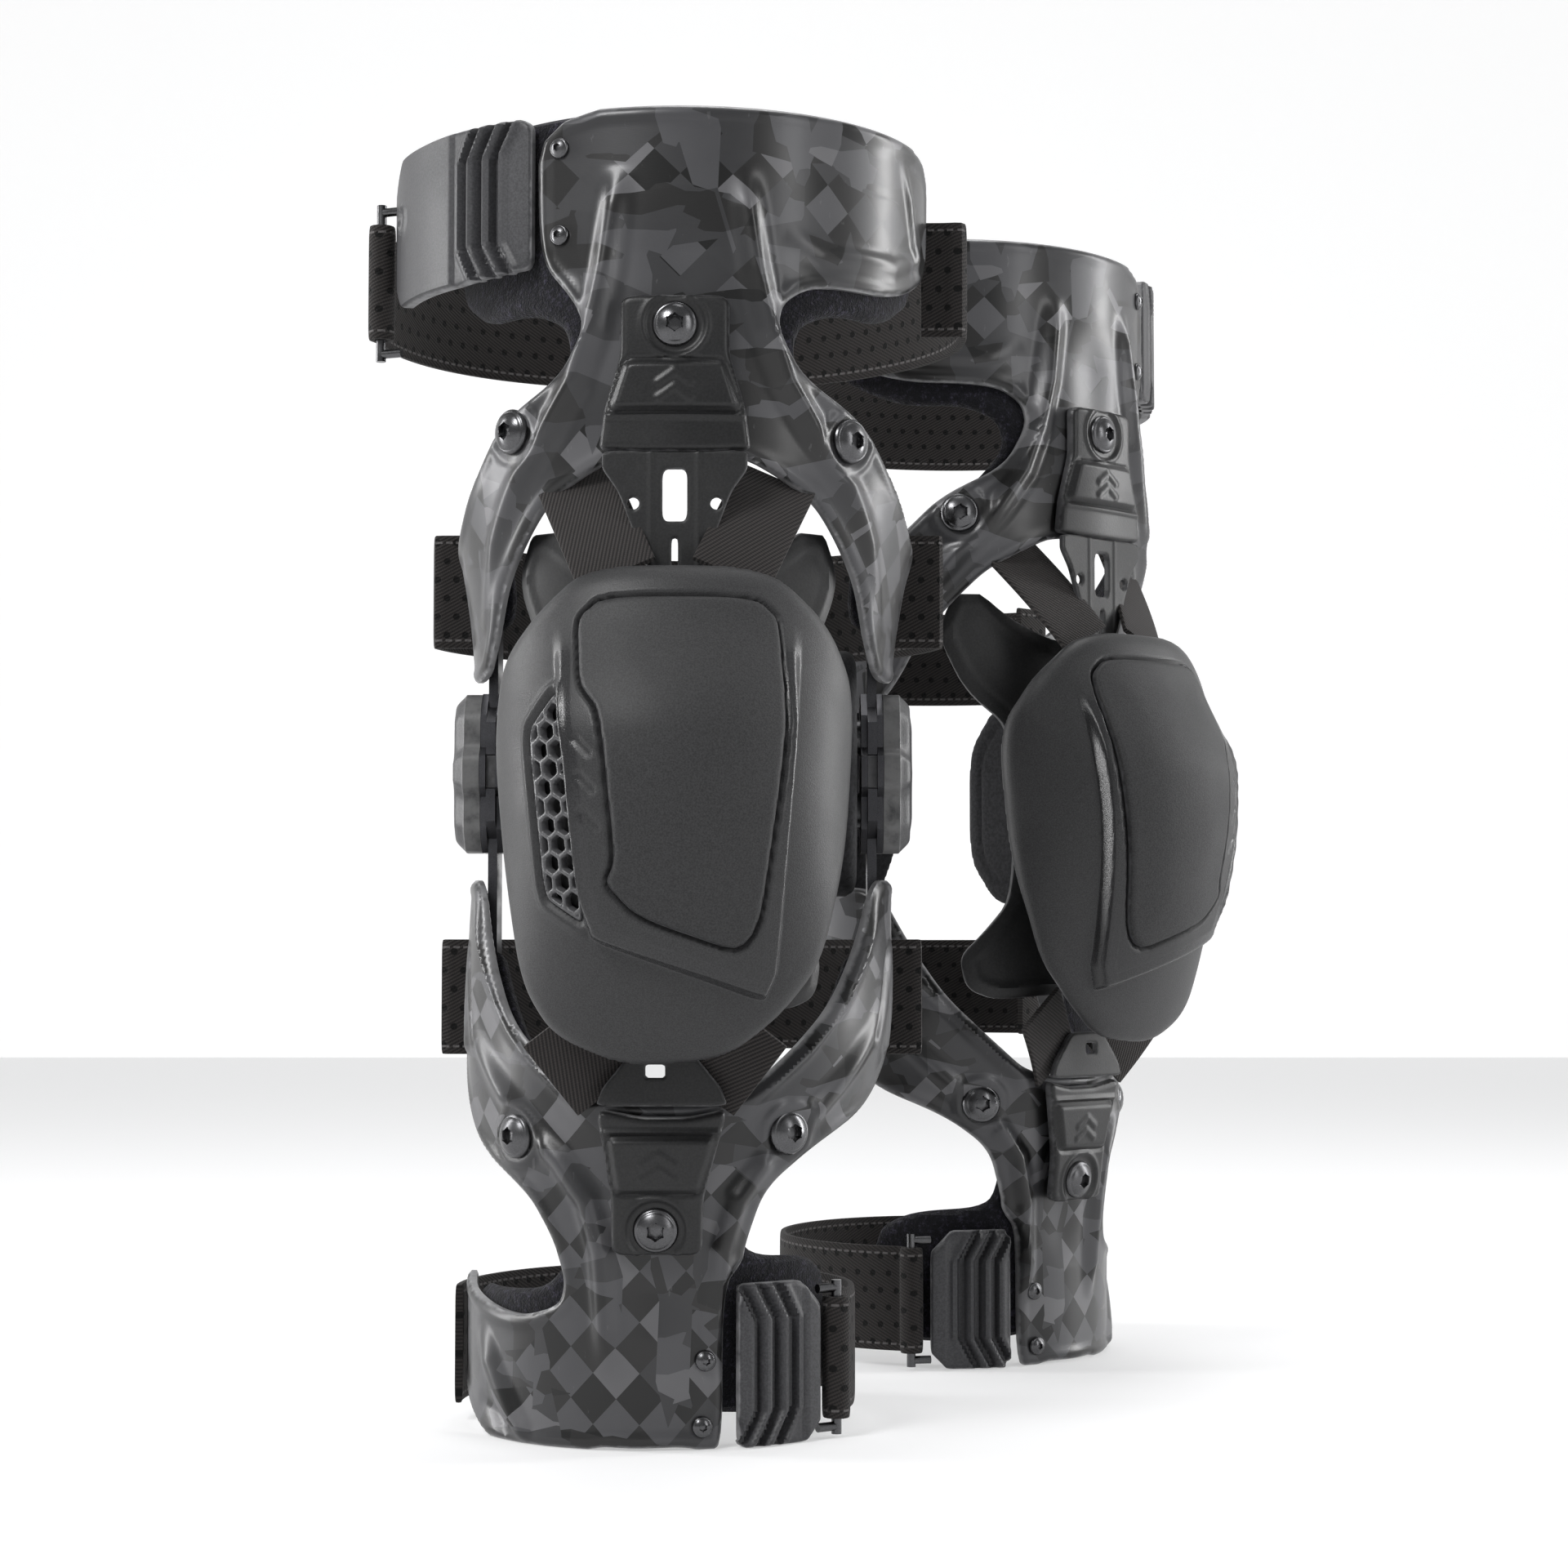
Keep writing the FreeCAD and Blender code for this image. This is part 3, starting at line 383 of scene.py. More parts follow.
@dataclass(frozen=True)
class Tube:
    """The outer face of a frame: level circles, seen from an upright line inside them.

    Grid places are (angle in radians times `reference`, height).
    """

    stations: tuple[tuple[float, float, float, float], ...]
    axis: tuple[float, float]
    reference: float

    def outline(self, degrees: Points, share: float = 0.38) -> Array:
        """Round an outline given in (degrees, height)."""
        return rounded([(math.radians(a) * self.reference, z) for a, z in degrees], share)

    def spots(self, degrees: Sequence[tuple[float, float, float]]
              ) -> list[tuple[float, float, float]]:
        """Turn (degrees, height, value) nodes into grid places."""
        return [(math.radians(a) * self.reference, z, v) for a, z, v in degrees]

    def place(self, flat: Array, lift: Array | float) -> Array:
        """Put grid places on the face, moved outwards by `lift`."""
        table = np.asarray(self.stations)
        row = spline_table(table[:, 0], table[:, 1:], flat[:, 1])
        angle = flat[:, 0] / self.reference
        out = np.stack([np.sin(angle), -np.cos(angle)], 1)
        start = np.asarray(self.axis) - row[:, 1:]
        inner = (start * out).sum(1)
        reach = -inner + np.sqrt(inner ** 2 - (start ** 2).sum(1) + row[:, 0] ** 2)
        level = np.asarray(self.axis) + out * (reach + lift)[:, None]
        return np.column_stack([level, flat[:, 1]])

    def spot(self, degrees: float, height: float, lift: float) -> tuple[Array, Array]:
        """One place on the face, and the way out there."""
        flat = np.array([[math.radians(degrees) * self.reference, height]])
        angle = math.radians(degrees)
        return self.place(flat, lift)[0], np.array([math.sin(angle), -math.cos(angle), 0.0])


@dataclass(frozen=True)
class Course:
    """A smooth line in plan that an upright strip follows; grid places are (run, height)."""

    line: Array

    @staticmethod
    def through(nodes: Points, blur: float = 3.0, pitch: float = 0.5) -> "Course":
        """Lay a line through nodes and soften its corners by averaging over `blur`."""
        node = np.asarray(nodes, float)
        run = run_lengths(node)
        at = np.linspace(0, run[-1], max(int(run[-1] / pitch), 8))
        line = np.column_stack([np.interp(at, run, node[:, i]) for i in (0, 1)])
        reach = max(int(blur / pitch), 1)
        weight = np.hanning(2 * reach + 3)[1:-1]
        weight /= weight.sum()
        padded = np.concatenate([2 * line[0] - line[reach:0:-1], line,
                                 2 * line[-1] - line[-2:-reach - 2:-1]])
        soft = np.column_stack([np.convolve(padded[:, i], weight, "valid") for i in (0, 1)])
        return Course(soft)

    @property
    def runs(self) -> Array:
        """Length along the line at each of its points."""
        return run_lengths(self.line)

    def place(self, flat: Array, lift: Array | float) -> Array:
        """Put grid places on the strip, moved to the line's right by `lift`."""
        runs = self.runs
        along = np.gradient(self.line, runs, axis=0)
        along /= np.linalg.norm(along, axis=1)[:, None]
        spot = np.column_stack([np.interp(flat[:, 0], runs, self.line[:, i]) for i in (0, 1)])
        way = np.column_stack([np.interp(flat[:, 0], runs, along[:, i]) for i in (0, 1)])
        out = np.column_stack([way[:, 1], -way[:, 0]])
        return np.column_stack([spot + out * np.reshape(lift, (-1, 1)), flat[:, 1]])


def oval_section(around: int, power: float, wide: float, tall: float) -> tuple[Array, Array]:
    """Round off a box's section: the cosine and sine of each turn, each raised to `power`.

    Args:
        around: points round the section.
        power: 1 for an oval, towards 0 for a box.
        wide: full size along the first axis.
        tall: full size along the second axis.

    Returns:
        Both coordinates of every point.
    """
    turn = np.linspace(0, 2 * np.pi, around, endpoint=False)
    first, second = (np.sign(wave) * np.abs(wave) ** power * size / 2
                     for wave, size in ((np.cos(turn), wide), (np.sin(turn), tall)))
    return first, second


def band(course: Course, low: float, high: float, thick: float, pitch: float = 1.6,
         around: int = 28, wave: Callable[[Array], Array] | None = None) -> Surface:
    """Webbing along a course: a flat rounded section carried along the line.

    The section is a box with rounded corners.

    Args:
        course: the line in plan, the middle of the webbing's thickness.
        low: lower edge.
        high: upper edge.
        thick: the webbing's thickness.
        pitch: spacing along the run.
        around: points round the section.
        wave: how far the webbing lifts off its line at each run.

    Returns:
        The closed surface, capped at both ends.
    """
    total = course.runs[-1]
    rows = max(int(total / pitch), 6)
    run = np.linspace(0, total, rows)
    lift, rise = oval_section(around, 0.28, thick, high - low)
    flat = np.column_stack([np.repeat(run, around), np.tile(rise + (high + low) / 2, rows)])
    off = np.zeros(rows) if wave is None else wave(run)
    points = course.place(flat, np.tile(lift, rows) + np.repeat(off, around))
    return tube_faces(points, rows, around, flat, np.tile((high - low) / 2 - np.abs(rise), rows))


def tube_faces(points: Array, rows: int, around: int, flat: Array, edge: Array) -> Surface:
    """Faces of a section carried along a line, with a fan of quads closing each end."""
    first = (np.arange(rows - 1)[:, None] * around + np.arange(around)).reshape(-1)
    after = (np.arange(rows - 1)[:, None] * around
             + (np.arange(around) + 1) % around).reshape(-1)
    sides = np.stack([first, after, after + around, first + around], 1)
    half = around // 2
    k = np.arange(half - 1)
    cap = np.stack([k, k + 1, (around - k - 2) % around, (around - k - 1) % around], 1)
    start, end = cap[:, ::-1], cap + (rows - 1) * around
    return Surface(points, [sides, start, end], flat, edge)


def ribbon(line: Array, across: Array, width: float, thick: float, around: int = 24) -> Surface:
    """A flat elastic along any line: its section is wide along `across`.

    Args:
        line: (n, 3) points.
        across: (n, 3) unit directions of the width.
        width: the elastic's width.
        thick: its thickness.
        around: points round the section.

    Returns:
        The closed surface.
    """
    rows = len(line)
    along = np.gradient(line, axis=0)
    along /= np.linalg.norm(along, axis=1)[:, None]
    out = np.cross(along, across)
    out /= np.linalg.norm(out, axis=1)[:, None]
    wide, deep = oval_section(around, 0.3, width, thick)
    points = (line[:, None] + across[:, None] * wide[None, :, None]
              + out[:, None] * deep[None, :, None]).reshape(-1, 3)
    run = run_lengths(line)
    flat = np.column_stack([np.repeat(run, around), np.tile(wide, rows)])
    return tube_faces(points, rows, around, flat, np.tile(width / 2 - np.abs(wide), rows))


def screw_head(centre: Array, outward: Array, radius: float, height: float) -> Surface:
    """A domed cap screw with a six-sided socket and a fine ring round its rim.

    The height at a radius is a circle's arc, lowered inside the socket's flats.

    Args:
        centre: middle of the flat under the head.
        outward: the way the head faces.
        radius: the head's radius.
        height: the head's height.

    Returns:
        The closed surface.
    """
    around = 48
    share = np.concatenate([[0.06, 0.16, 0.24], np.linspace(0.29, 0.37, 6),
                            np.linspace(0.42, 0.84, 9), np.linspace(0.87, 1.0, 7)])
    turn = np.linspace(0, 2 * np.pi, around, endpoint=False)
    r = np.repeat(share, around) * radius
    a = np.tile(turn, len(share))
    sixth = np.pi / 3
    flats = r * np.cos((a + sixth / 2) % sixth - sixth / 2)
    ball = (radius ** 2 + height ** 2) / (2 * height)
    dome = np.sqrt(ball ** 2 - (0.96 * r) ** 2) - (ball - height)
    socket = 1.0 - smooth(flats, 0.29 * radius, 0.34 * radius)
    ring = bell(r, 0.84 * radius, 0.035 * radius)
    rim = smooth(r, 0.93 * radius, radius)
    top = dome - 0.55 * height * socket - 0.07 * height * ring
    top = top * (1 - 0.55 * rim ** 2)
    side = np.cross([0.0, 0.0, 1.0], outward)
    side /= np.linalg.norm(side)
    up = np.cross(outward, side)
    flat = np.column_stack([r * np.cos(a), r * np.sin(a)])
    face = centre + flat[:, :1] * side + flat[:, 1:] * up + top[:, None] * outward
    foot = face[-around:] - outward * (top[-around:, None] + 0.6)
    points = np.concatenate([face, foot])
    rows = len(share) + 1
    return tube_faces(points, rows, around, np.concatenate([flat, flat[-around:]]),
                      np.full(len(points), 9.0))


# ------------------------------------------------------------------ placing and meshes


@dataclass(frozen=True)
class Site:
    """Where a brace stands: its axis in the row frame, its turn and its hand."""

    side: Side
    origin: tuple[float, float]
    yaw: float

    @staticmethod
    def of(side: Side, joints: list[dict]) -> "Site":
        """Read the brace's place from its own link hinge.

        Args:
            side: which brace.
            joints: the frame's joints.

        Returns:
            The brace's place.
        """
        hinge = next(j for j in joints if j["name"] == f"{side.value}_link_hinge")
        turn = math.atan2(hinge["axis"][1], hinge["axis"][0]) % math.pi
        yaw = turn if turn < math.pi - 1e-6 else 0.0
        return Site(side, (hinge["pos_m"][0], hinge["pos_m"][1]), yaw)

    def to_row(self, points: Array) -> Array:
        """Carry brace places in millimetres to the row frame in metres."""
        x, y, z = (np.asarray(points, float).reshape(-1, 3) * MM).T
        if self.side is Side.RIGHT:
            x = -x
        c, s = math.cos(self.yaw), math.sin(self.yaw)
        return np.column_stack([self.origin[0] + c * x - s * y, self.origin[1] + s * x + c * y, z])

    def point(self, x: float, y: float, z: float) -> tuple[float, float, float]:
        """One place in the row frame."""
        return tuple(float(v) for v in self.to_row(np.array([x, y, z]))[0])

    def direction(self, x: float, y: float) -> tuple[float, float, float]:
        """One level direction in the row frame."""
        tip, foot = self.to_row(np.array([x, y, 0.0]))[0], self.to_row(np.zeros(3))[0]
        return tuple(float(v) for v in (tip - foot) / np.linalg.norm(tip - foot))


def signed_volume(points: Array, faces: list[Array]) -> float:
    """Volume that the faces enclose, negative when they point inwards."""
    total = 0.0
    for group in faces:
        a = points[group[:, 0]]
        for k in range(1, group.shape[1] - 1):
            b, c = points[group[:, k]], points[group[:, k + 1]]
            total += float((a * np.cross(b, c)).sum()) / 6.0
    return total


def make_piece(name: str, surface: Surface, site: Site, sharp: float = 38.0) -> bpy.types.Object:
    """Turn a surface into an object whose place is in its mesh.

    Args:
        name: the piece's name, without its brace.
        surface: the surface in brace millimetres.
        site: the brace's place.
        sharp: angle in degrees above which an edge is drawn sharp.

    Returns:
        The object, linked to the scene.
    """
    points = site.to_row(surface.points)
    faces = surface.faces
    if signed_volume(points, faces) < 0:
        faces = [f[:, ::-1] for f in faces]
    label = f"{site.side.value}_{name}_look"
    mesh = bpy.data.meshes.new(label)
    mesh.from_pydata(points.tolist(), [], [row for f in faces for row in f.tolist()])
    mesh.update()
    corner = np.empty(len(mesh.loops), np.int32)
    mesh.loops.foreach_get("vertex_index", corner)
    layer = mesh.uv_layers.new(name="Flat")
    layer.data.foreach_set("uv", (surface.flat[corner] * MM).astype(np.float32).ravel())
    edge = mesh.attributes.new("edge", "FLOAT", "POINT")
    edge.data.foreach_set("value", np.clip(surface.edge, 0, 12).astype(np.float32))
    if surface.polish is not None:
        polish = mesh.attributes.new("polish", "FLOAT", "POINT")
        polish.data.foreach_set("value", surface.polish.astype(np.float32))
    mesh.shade_smooth()
    mesh.set_sharp_from_angle(angle=math.radians(sharp))
    piece = bpy.data.objects.new(label, mesh)
    bpy.context.scene.collection.objects.link(piece)
    return piece


# ------------------------------------------------------------------ node groups


Socket = bpy.types.NodeSocket
Colour = tuple[float, float, float]
WHITE: Colour = (1.0, 1.0, 1.0)


class Board:
    """A shader tree and the ways to put nodes on it, fed by sockets or plain values."""

    def __init__(self, tree: bpy.types.NodeTree) -> None:
        """Work on one tree."""
        self.tree = tree

    def feed(self, target: Socket, source: object) -> None:
        """Give a socket a link or a plain value; a plain colour is made opaque."""
        if isinstance(source, bpy.types.NodeSocket):
            self.tree.links.new(source, target)
        else:
            target.default_value = (*source, 1.0) if target.type == "RGBA" else source

    def node(self, kind: str, inputs: dict[str | int, object] | None = None,
             **settings: object) -> bpy.types.Node:
        """A node with its settings, fed by input name or number."""
        node = self.tree.nodes.new(f"ShaderNode{kind}")
        for label, value in settings.items():
            setattr(node, label, value)
        for key, source in (inputs or {}).items():
            self.feed(node.inputs[key], source)
        return node

    def math(self, kind: str, a: object, b: object = 0.0, c: object = 0.0) -> Socket:
        """A maths node."""
        return self.node("Math", {0: a, 1: b, 2: c}, operation=kind).outputs[0]

    def noise(self, place: object, scale: object, detail: float = 3.0,
              rough: float = 0.55) -> Socket:
        """A noise texture's value."""
        return self.node("TexNoise", {"Vector": place, "Scale": scale, "Detail": detail,
                                      "Roughness": rough}).outputs[0]

    def span(self, value: object, low: object, high: object, to_low: object = 0.0,
             to_high: object = 1.0) -> Socket:
        """Map a value from one range to another with level ends, held outside them."""
        inputs = {0: value, 1: low, 2: high, 3: to_low, 4: to_high}
        return self.node("MapRange", inputs, interpolation_type="SMOOTHSTEP").outputs[0]

    def mapped(self, place: object, turn: float, stretch: Colour = WHITE) -> Socket:
        """Turn a pattern by degrees and stretch it."""
        return self.node("Mapping", {"Vector": place, "Scale": stretch,
                                     "Rotation": (0.0, 0.0, math.radians(turn))}).outputs[0]

    def split(self, vector: Socket) -> bpy.types.bpy_prop_collection:
        """The three parts of a vector."""
        return self.node("SeparateXYZ", {0: vector}).outputs

    def mix(self, share: object, a: object, b: object, kind: str = "MIX") -> Socket:
        """Mix two colours."""
        return self.node("Mix", {0: share, 6: a, 7: b}, data_type="RGBA",
                         blend_type=kind).outputs[2]

    def ramp(self, value: Socket, *stops: tuple[float, Colour], kind: str = "LINEAR") -> Socket:
        """Colour stops along a value."""
        node = self.node("ValToRGB", {0: value})
        node.color_ramp.interpolation = kind
        while len(node.color_ramp.elements) < len(stops):
            node.color_ramp.elements.new(0.5)
        for element, (at, colour) in zip(node.color_ramp.elements, stops):
            element.position = at
            element.color = (*colour, 1.0)
        return node.outputs[0]

    def use(self, effect: bpy.types.NodeTree, place: Socket,
            **values: object) -> bpy.types.bpy_prop_collection:
        """Put a shared effect on this board with its own values."""
        inputs = {label.replace("_", " "): value for label, value in values.items()}
        return self.node("Group", {"Place": place, **inputs}, node_tree=effect).outputs


class Effect(Board):
    """A shared node group in the making, with a vector input called Place."""

    def __init__(self, name: str, inputs: dict[str, float], outputs: Sequence[str]) -> None:
        """Make the group with number inputs and outputs."""
        super().__init__(bpy.data.node_groups.new(name, "ShaderNodeTree"))
        self.tree.interface.new_socket("Place", in_out="INPUT", socket_type="NodeSocketVector")
        for label, start in inputs.items():
            socket = self.tree.interface.new_socket(label, in_out="INPUT",
                                                    socket_type="NodeSocketFloat")
            socket.default_value = start
        for label in outputs:
            self.tree.interface.new_socket(label, in_out="OUTPUT", socket_type="NodeSocketFloat")
        self.start = self.tree.nodes.new("NodeGroupInput")
        self.end = self.tree.nodes.new("NodeGroupOutput")
        self.place = self.given("Place")

    def given(self, label: str) -> Socket:
        """One of the group's inputs."""
        return self.start.outputs[label]

    def out(self, **sockets: Socket) -> bpy.types.NodeTree:
        """Join the group's outputs, and give back its tree."""
        for label, socket in sockets.items():
            self.tree.links.new(socket, self.end.inputs[label])
        return self.tree


def grain_effect() -> bpy.types.NodeTree:
    """Fine moulded grain with slow colour drift: two noises, one fine and one broad."""
    group = Effect("moulded_grain", {"Scale": 900.0, "Drift Scale": 14.0},
                   ("Grain", "Drift", "Height"))
    fine = group.noise(group.place, group.given("Scale"), 2.0, 0.6)
    drift = group.noise(group.place, group.given("Drift Scale"))
    return group.out(Grain=group.span(fine, 0.3, 0.7), Drift=group.span(drift, 0.3, 0.7),
                     Height=fine)


def rim_highlight_and_scuff_effect() -> bpy.types.NodeTree:
    """Painted rim highlight: strong at the piece's edge, broken up by noise, plus sparse real
    scuffs.
    """
    group = Effect("painted_rim_highlight_and_scuffs", {"Edge": 9.0, "Reach": 1.4, "Scuffs": 0.4}, ("Wear",))
    patchy = group.noise(group.place, 160.0, 4.0, 0.65)
    shifted = group.math("MULTIPLY_ADD", patchy, 1.6, group.given("Edge"))
    limit = group.math("ADD", group.given("Reach"), 0.8)
    # Painted highlight: a pale rim that fades in from each edge; the scuffs added below are real
    # marks.
    rim = group.span(shifted, 0.6, limit, 1.0, 0.0)
    streak = group.noise(group.mapped(group.place, 34.0, (1.0, 0.12, 0.4)), 420.0)
    scuff = group.span(streak, 0.68, 0.74)
    total = group.math("MULTIPLY_ADD", scuff, group.given("Scuffs"), rim)
    return group.out(Wear=group.math("MINIMUM", total, 1.0))


def weave_effect() -> bpy.types.NodeTree:
    """Twill: diagonal cords crossed by finer threads, from two waves of the flat map."""
    group = Effect("twill_weave", {"Cords": 900.0, "Threads": 1500.0}, ("Mask", "Height"))
    run, up, _ = group.split(group.place)
    diagonal = group.math("MULTIPLY_ADD", run, 0.55, up)
    cords = group.math("SINE", group.math("MULTIPLY", diagonal, group.given("Cords")))
    other = group.math("MULTIPLY_ADD", up, -0.35, run)
    threads = group.math("SINE", group.math("MULTIPLY", other, group.given("Threads")))
    both = group.math("MULTIPLY_ADD", threads, 0.35, cords)
    return group.out(Height=both, Mask=group.span(both, -0.9, 0.9))


def punched_effect() -> bpy.types.NodeTree:
    """Rows of small punched holes: distance from the middle of each staggered cell."""
    group = Effect("punched_rows", {"Pitch": 5.5, "Radius": 0.16}, ("Hole",))
    scale = group.math("DIVIDE", 1.0 / MM, group.given("Pitch"))
    run, rise, _ = group.split(group.place)
    across, up = (group.math("MULTIPLY", part, scale) for part in (run, rise))
    odd = group.math("FLOORED_MODULO", group.math("FLOOR", up), 2.0)
    staggered = group.math("ADD", across, group.math("MULTIPLY", odd, 0.5))
    x, y = (group.math("SUBTRACT", group.math("FRACT", part), 0.5) for part in (staggered, up))
    reach = group.math("SQRT", group.math("MULTIPLY_ADD", x, x, group.math("MULTIPLY", y, y)))
    outer = group.math("ADD", group.given("Radius"), 0.06)
    return group.out(Hole=group.span(reach, group.given("Radius"), outer, 1.0, 0.0))


def laminate_effect() -> bpy.types.NodeTree:
    """Chopped laminate: turned squares of random grey under long angular shards."""
    group = Effect("chopped_laminate", {"Square": 11.0}, ("Tone", "Height"))
    scale = group.math("DIVIDE", 1.0 / MM, group.given("Square"))
    grown = group.node("VectorMath", {0: group.mapped(group.place, 45.0), "Scale": scale},
                       operation="SCALE")
    cell = group.node("VectorMath", {0: grown.outputs[0]}, operation="FLOOR").outputs[0]
    draw = group.node("TexWhiteNoise", {"Vector": cell}, noise_dimensions="2D")
    column, row, _ = group.split(cell)
    checker = group.math("FLOORED_MODULO", group.math("ADD", column, row), 2.0)
    grey = group.math("MULTIPLY", draw.outputs["Value"], 0.5)
    squares = group.math("MULTIPLY_ADD", checker, 0.5, grey)
    shards = []
    for turn, stretch, size in ((24.0, (1.0, 2.6, 1.0), 26.0), (-38.0, (2.4, 0.9, 1.0), 34.0),
                                (8.0, (0.7, 2.0, 1.0), 60.0)):
        texture = group.node("TexVoronoi", distance="MANHATTAN", voronoi_dimensions="2D")
        group.feed(texture.inputs["Scale"], size)
        group.feed(texture.inputs["Vector"], group.mapped(group.place, turn, stretch))
        shards.append(group.node("SeparateColor", {0: texture.outputs["Color"]}).outputs[0])
    first, second = (group.math("GREATER_THAN", shard, limit)
                     for shard, limit in zip(shards, (0.46, 0.72)))
    plain = group.math("MAXIMUM", first, second)
    tone = group.math("MULTIPLY_ADD", shards[1], 0.45, group.math("MULTIPLY", shards[2], 0.55))
    blend = group.math("MULTIPLY", group.math("SUBTRACT", 1.0, plain), squares)
    fibre = group.mapped(group.place, 45.0, (1.0, 6.0, 1.0))
    return group.out(Tone=group.math("ADD", blend, group.math("MULTIPLY", plain, tone)),
                     Height=group.noise(fibre, 700.0, 2.0))


@dataclass
class Effects:
    """The shared node groups, each built once."""

    grain: bpy.types.NodeTree = field(default_factory=grain_effect)
    highlight_and_scuffs: bpy.types.NodeTree = field(default_factory=rim_highlight_and_scuff_effect)
    weave: bpy.types.NodeTree = field(default_factory=weave_effect)
    punched: bpy.types.NodeTree = field(default_factory=punched_effect)
    laminate: bpy.types.NodeTree = field(default_factory=laminate_effect)


# ------------------------------------------------------------------ finishes


class Paint(Board):
    """A material's own tree, its shader, and the places that patterns are laid on."""

    def __init__(self, name: str) -> None:
        """Make an empty material."""
        self.material = bpy.data.materials.new(name)
        self.material.use_nodes = True
        super().__init__(self.material.node_tree)
        self.shader = next(n for n in self.tree.nodes if n.type == "BSDF_PRINCIPLED")

    def set(self, **values: object) -> None:
        """Feed the shader's inputs, their names written with underscores."""
        for label, source in values.items():
            self.feed(self.shader.inputs[label.replace("_", " ")], source)

    def bump(self, height: Socket, strength: float, distance: float) -> None:
        """Feed the shader's Normal from a height."""
        node = self.node("Bump", {"Strength": strength, "Distance": distance, "Height": height})
        self.set(Normal=node.outputs[0])

    def flat_map(self) -> Socket:
        """The piece's own flat map, in metres."""
        return self.node("UVMap", uv_map="Flat").outputs[0]

    def space(self) -> Socket:
        """Object coordinates, in metres."""
        return self.node("TexCoord").outputs["Object"]

    def carried(self, name: str) -> Socket:
        """A number that the mesh carries: `edge` in millimetres, or `polish`."""
        return self.node("Attribute", attribute_name=name).outputs["Fac"]


@dataclass(frozen=True)
class Finish:
    """What every finish has: plain shader values, some of which its patterns replace."""

    name: str
    roughness: float = 0.5
    metallic: float = 0.0
    coat: float = 0.0
    coat_roughness: float = 0.15
    sheen: float = 0.0
    specular: float = 0.5

    def lay(self, paint: Paint, effects: Effects) -> None:
        """Lay the finish's own patterns."""
        raise NotImplementedError

    def make(self, effects: Effects) -> bpy.types.Material:
        """Build the material: the plain values first, then the patterns."""
        paint = Paint(self.name)
        paint.set(Roughness=self.roughness, Metallic=self.metallic, Coat_Weight=self.coat,
                  Coat_Roughness=self.coat_roughness, Sheen_Weight=self.sheen,
                  Sheen_Roughness=0.5, Specular_IOR_Level=self.specular)
        self.lay(paint, effects)
        return paint.material


@dataclass(frozen=True)
class Laminate(Finish):
    """Satin chopped laminate with a painted pale highlight along its edges, and scuffs."""

    square: float = 11.0
    tones: tuple[tuple[float, Colour], ...] = (
        (0.0, (0.006, 0.006, 0.006)), (0.22, (0.014, 0.0135, 0.0135)),
        (0.42, (0.030, 0.030, 0.032)), (0.66, (0.058, 0.058, 0.062)),
        (0.85, (0.100, 0.099, 0.104)))
    # Colour of the painted edge highlight, also given to the real scuffs.
    highlight_and_scuff_colour: Colour = (0.20, 0.20, 0.205)

    def lay(self, paint: Paint, effects: Effects) -> None:
        """Lay squares and shards, a cloudy drift, and the painted edge highlight with scuffs."""
        space = paint.space()
        pattern = paint.use(effects.laminate, paint.flat_map(), Square=self.square)
        tone = paint.ramp(pattern["Tone"], *self.tones, kind="CONSTANT")
        grain = paint.use(effects.grain, space, Scale=2200.0, Drift_Scale=22.0)
        drift = paint.ramp(grain["Drift"], (0.0, (0.45, 0.45, 0.47)), (1.0, WHITE))
        cloudy = paint.mix(0.35, tone, drift, "MULTIPLY")
        # Painted highlight: a pale rim along every edge, mixed with real scuffs.
        highlight_and_scuffs = paint.use(effects.highlight_and_scuffs, space, Edge=paint.carried("edge"), Reach=1.0, Scuffs=0.14)
        paint.set(Base_Color=paint.mix(highlight_and_scuffs["Wear"], cloudy, self.highlight_and_scuff_colour),
                  Roughness=paint.span(pattern["Tone"], 0.0, 1.0, self.roughness - 0.06,
                                       self.roughness + 0.10))
        paint.bump(pattern["Height"], 0.10, 0.0002)


@dataclass(frozen=True)
class Moulded(Finish):
    """Moulded plastic: fine grain, slow drift of tone, a painted pale highlight along the edges
    with scuffs, and polished places.
    """

    specular: float = 0.35
    colour: Colour = (0.03, 0.03, 0.032)
    # Colour of the painted edge highlight, also given to the real scuffs.
    highlight_and_scuff_colour: Colour = (0.07, 0.07, 0.073)
    scale: float = 1400.0
    speckle: float = 0.25
    depth: float = 0.00012
    scuffs: float = 0.08
    polished: float = 0.2

    def lay(self, paint: Paint, effects: Effects) -> None:
        """Lay grain, drift, the painted edge highlight with scuffs, and smooth the polished
        places.
        """
        space = paint.space()
        grain = paint.use(effects.grain, space, Scale=self.scale, Drift_Scale=18.0)
        dark, light = (tuple(c * (1 + sign * self.speckle) for c in self.colour)
                       for sign in (-1, 1))
        drift = paint.ramp(grain["Drift"], (0.0, (0.55, 0.55, 0.55)), (1.0, WHITE))
        base = paint.mix(0.25, paint.mix(grain["Grain"], dark, light), drift, "MULTIPLY")
        # Painted highlight: a pale rim along every edge, mixed with real scuffs.
        highlight_and_scuffs = paint.use(effects.highlight_and_scuffs, space, Edge=paint.carried("edge"), Reach=0.5,
                         Scuffs=self.scuffs)
        rough = paint.span(grain["Drift"], 0.0, 1.0, self.roughness - 0.05,
                           self.roughness + 0.06)
        paint.set(Base_Color=paint.mix(highlight_and_scuffs["Wear"], base, self.highlight_and_scuff_colour),
                  Roughness=paint.span(paint.carried("polish"), 0.0, 1.0, rough, self.polished))
        paint.bump(grain["Height"], 0.35, self.depth)


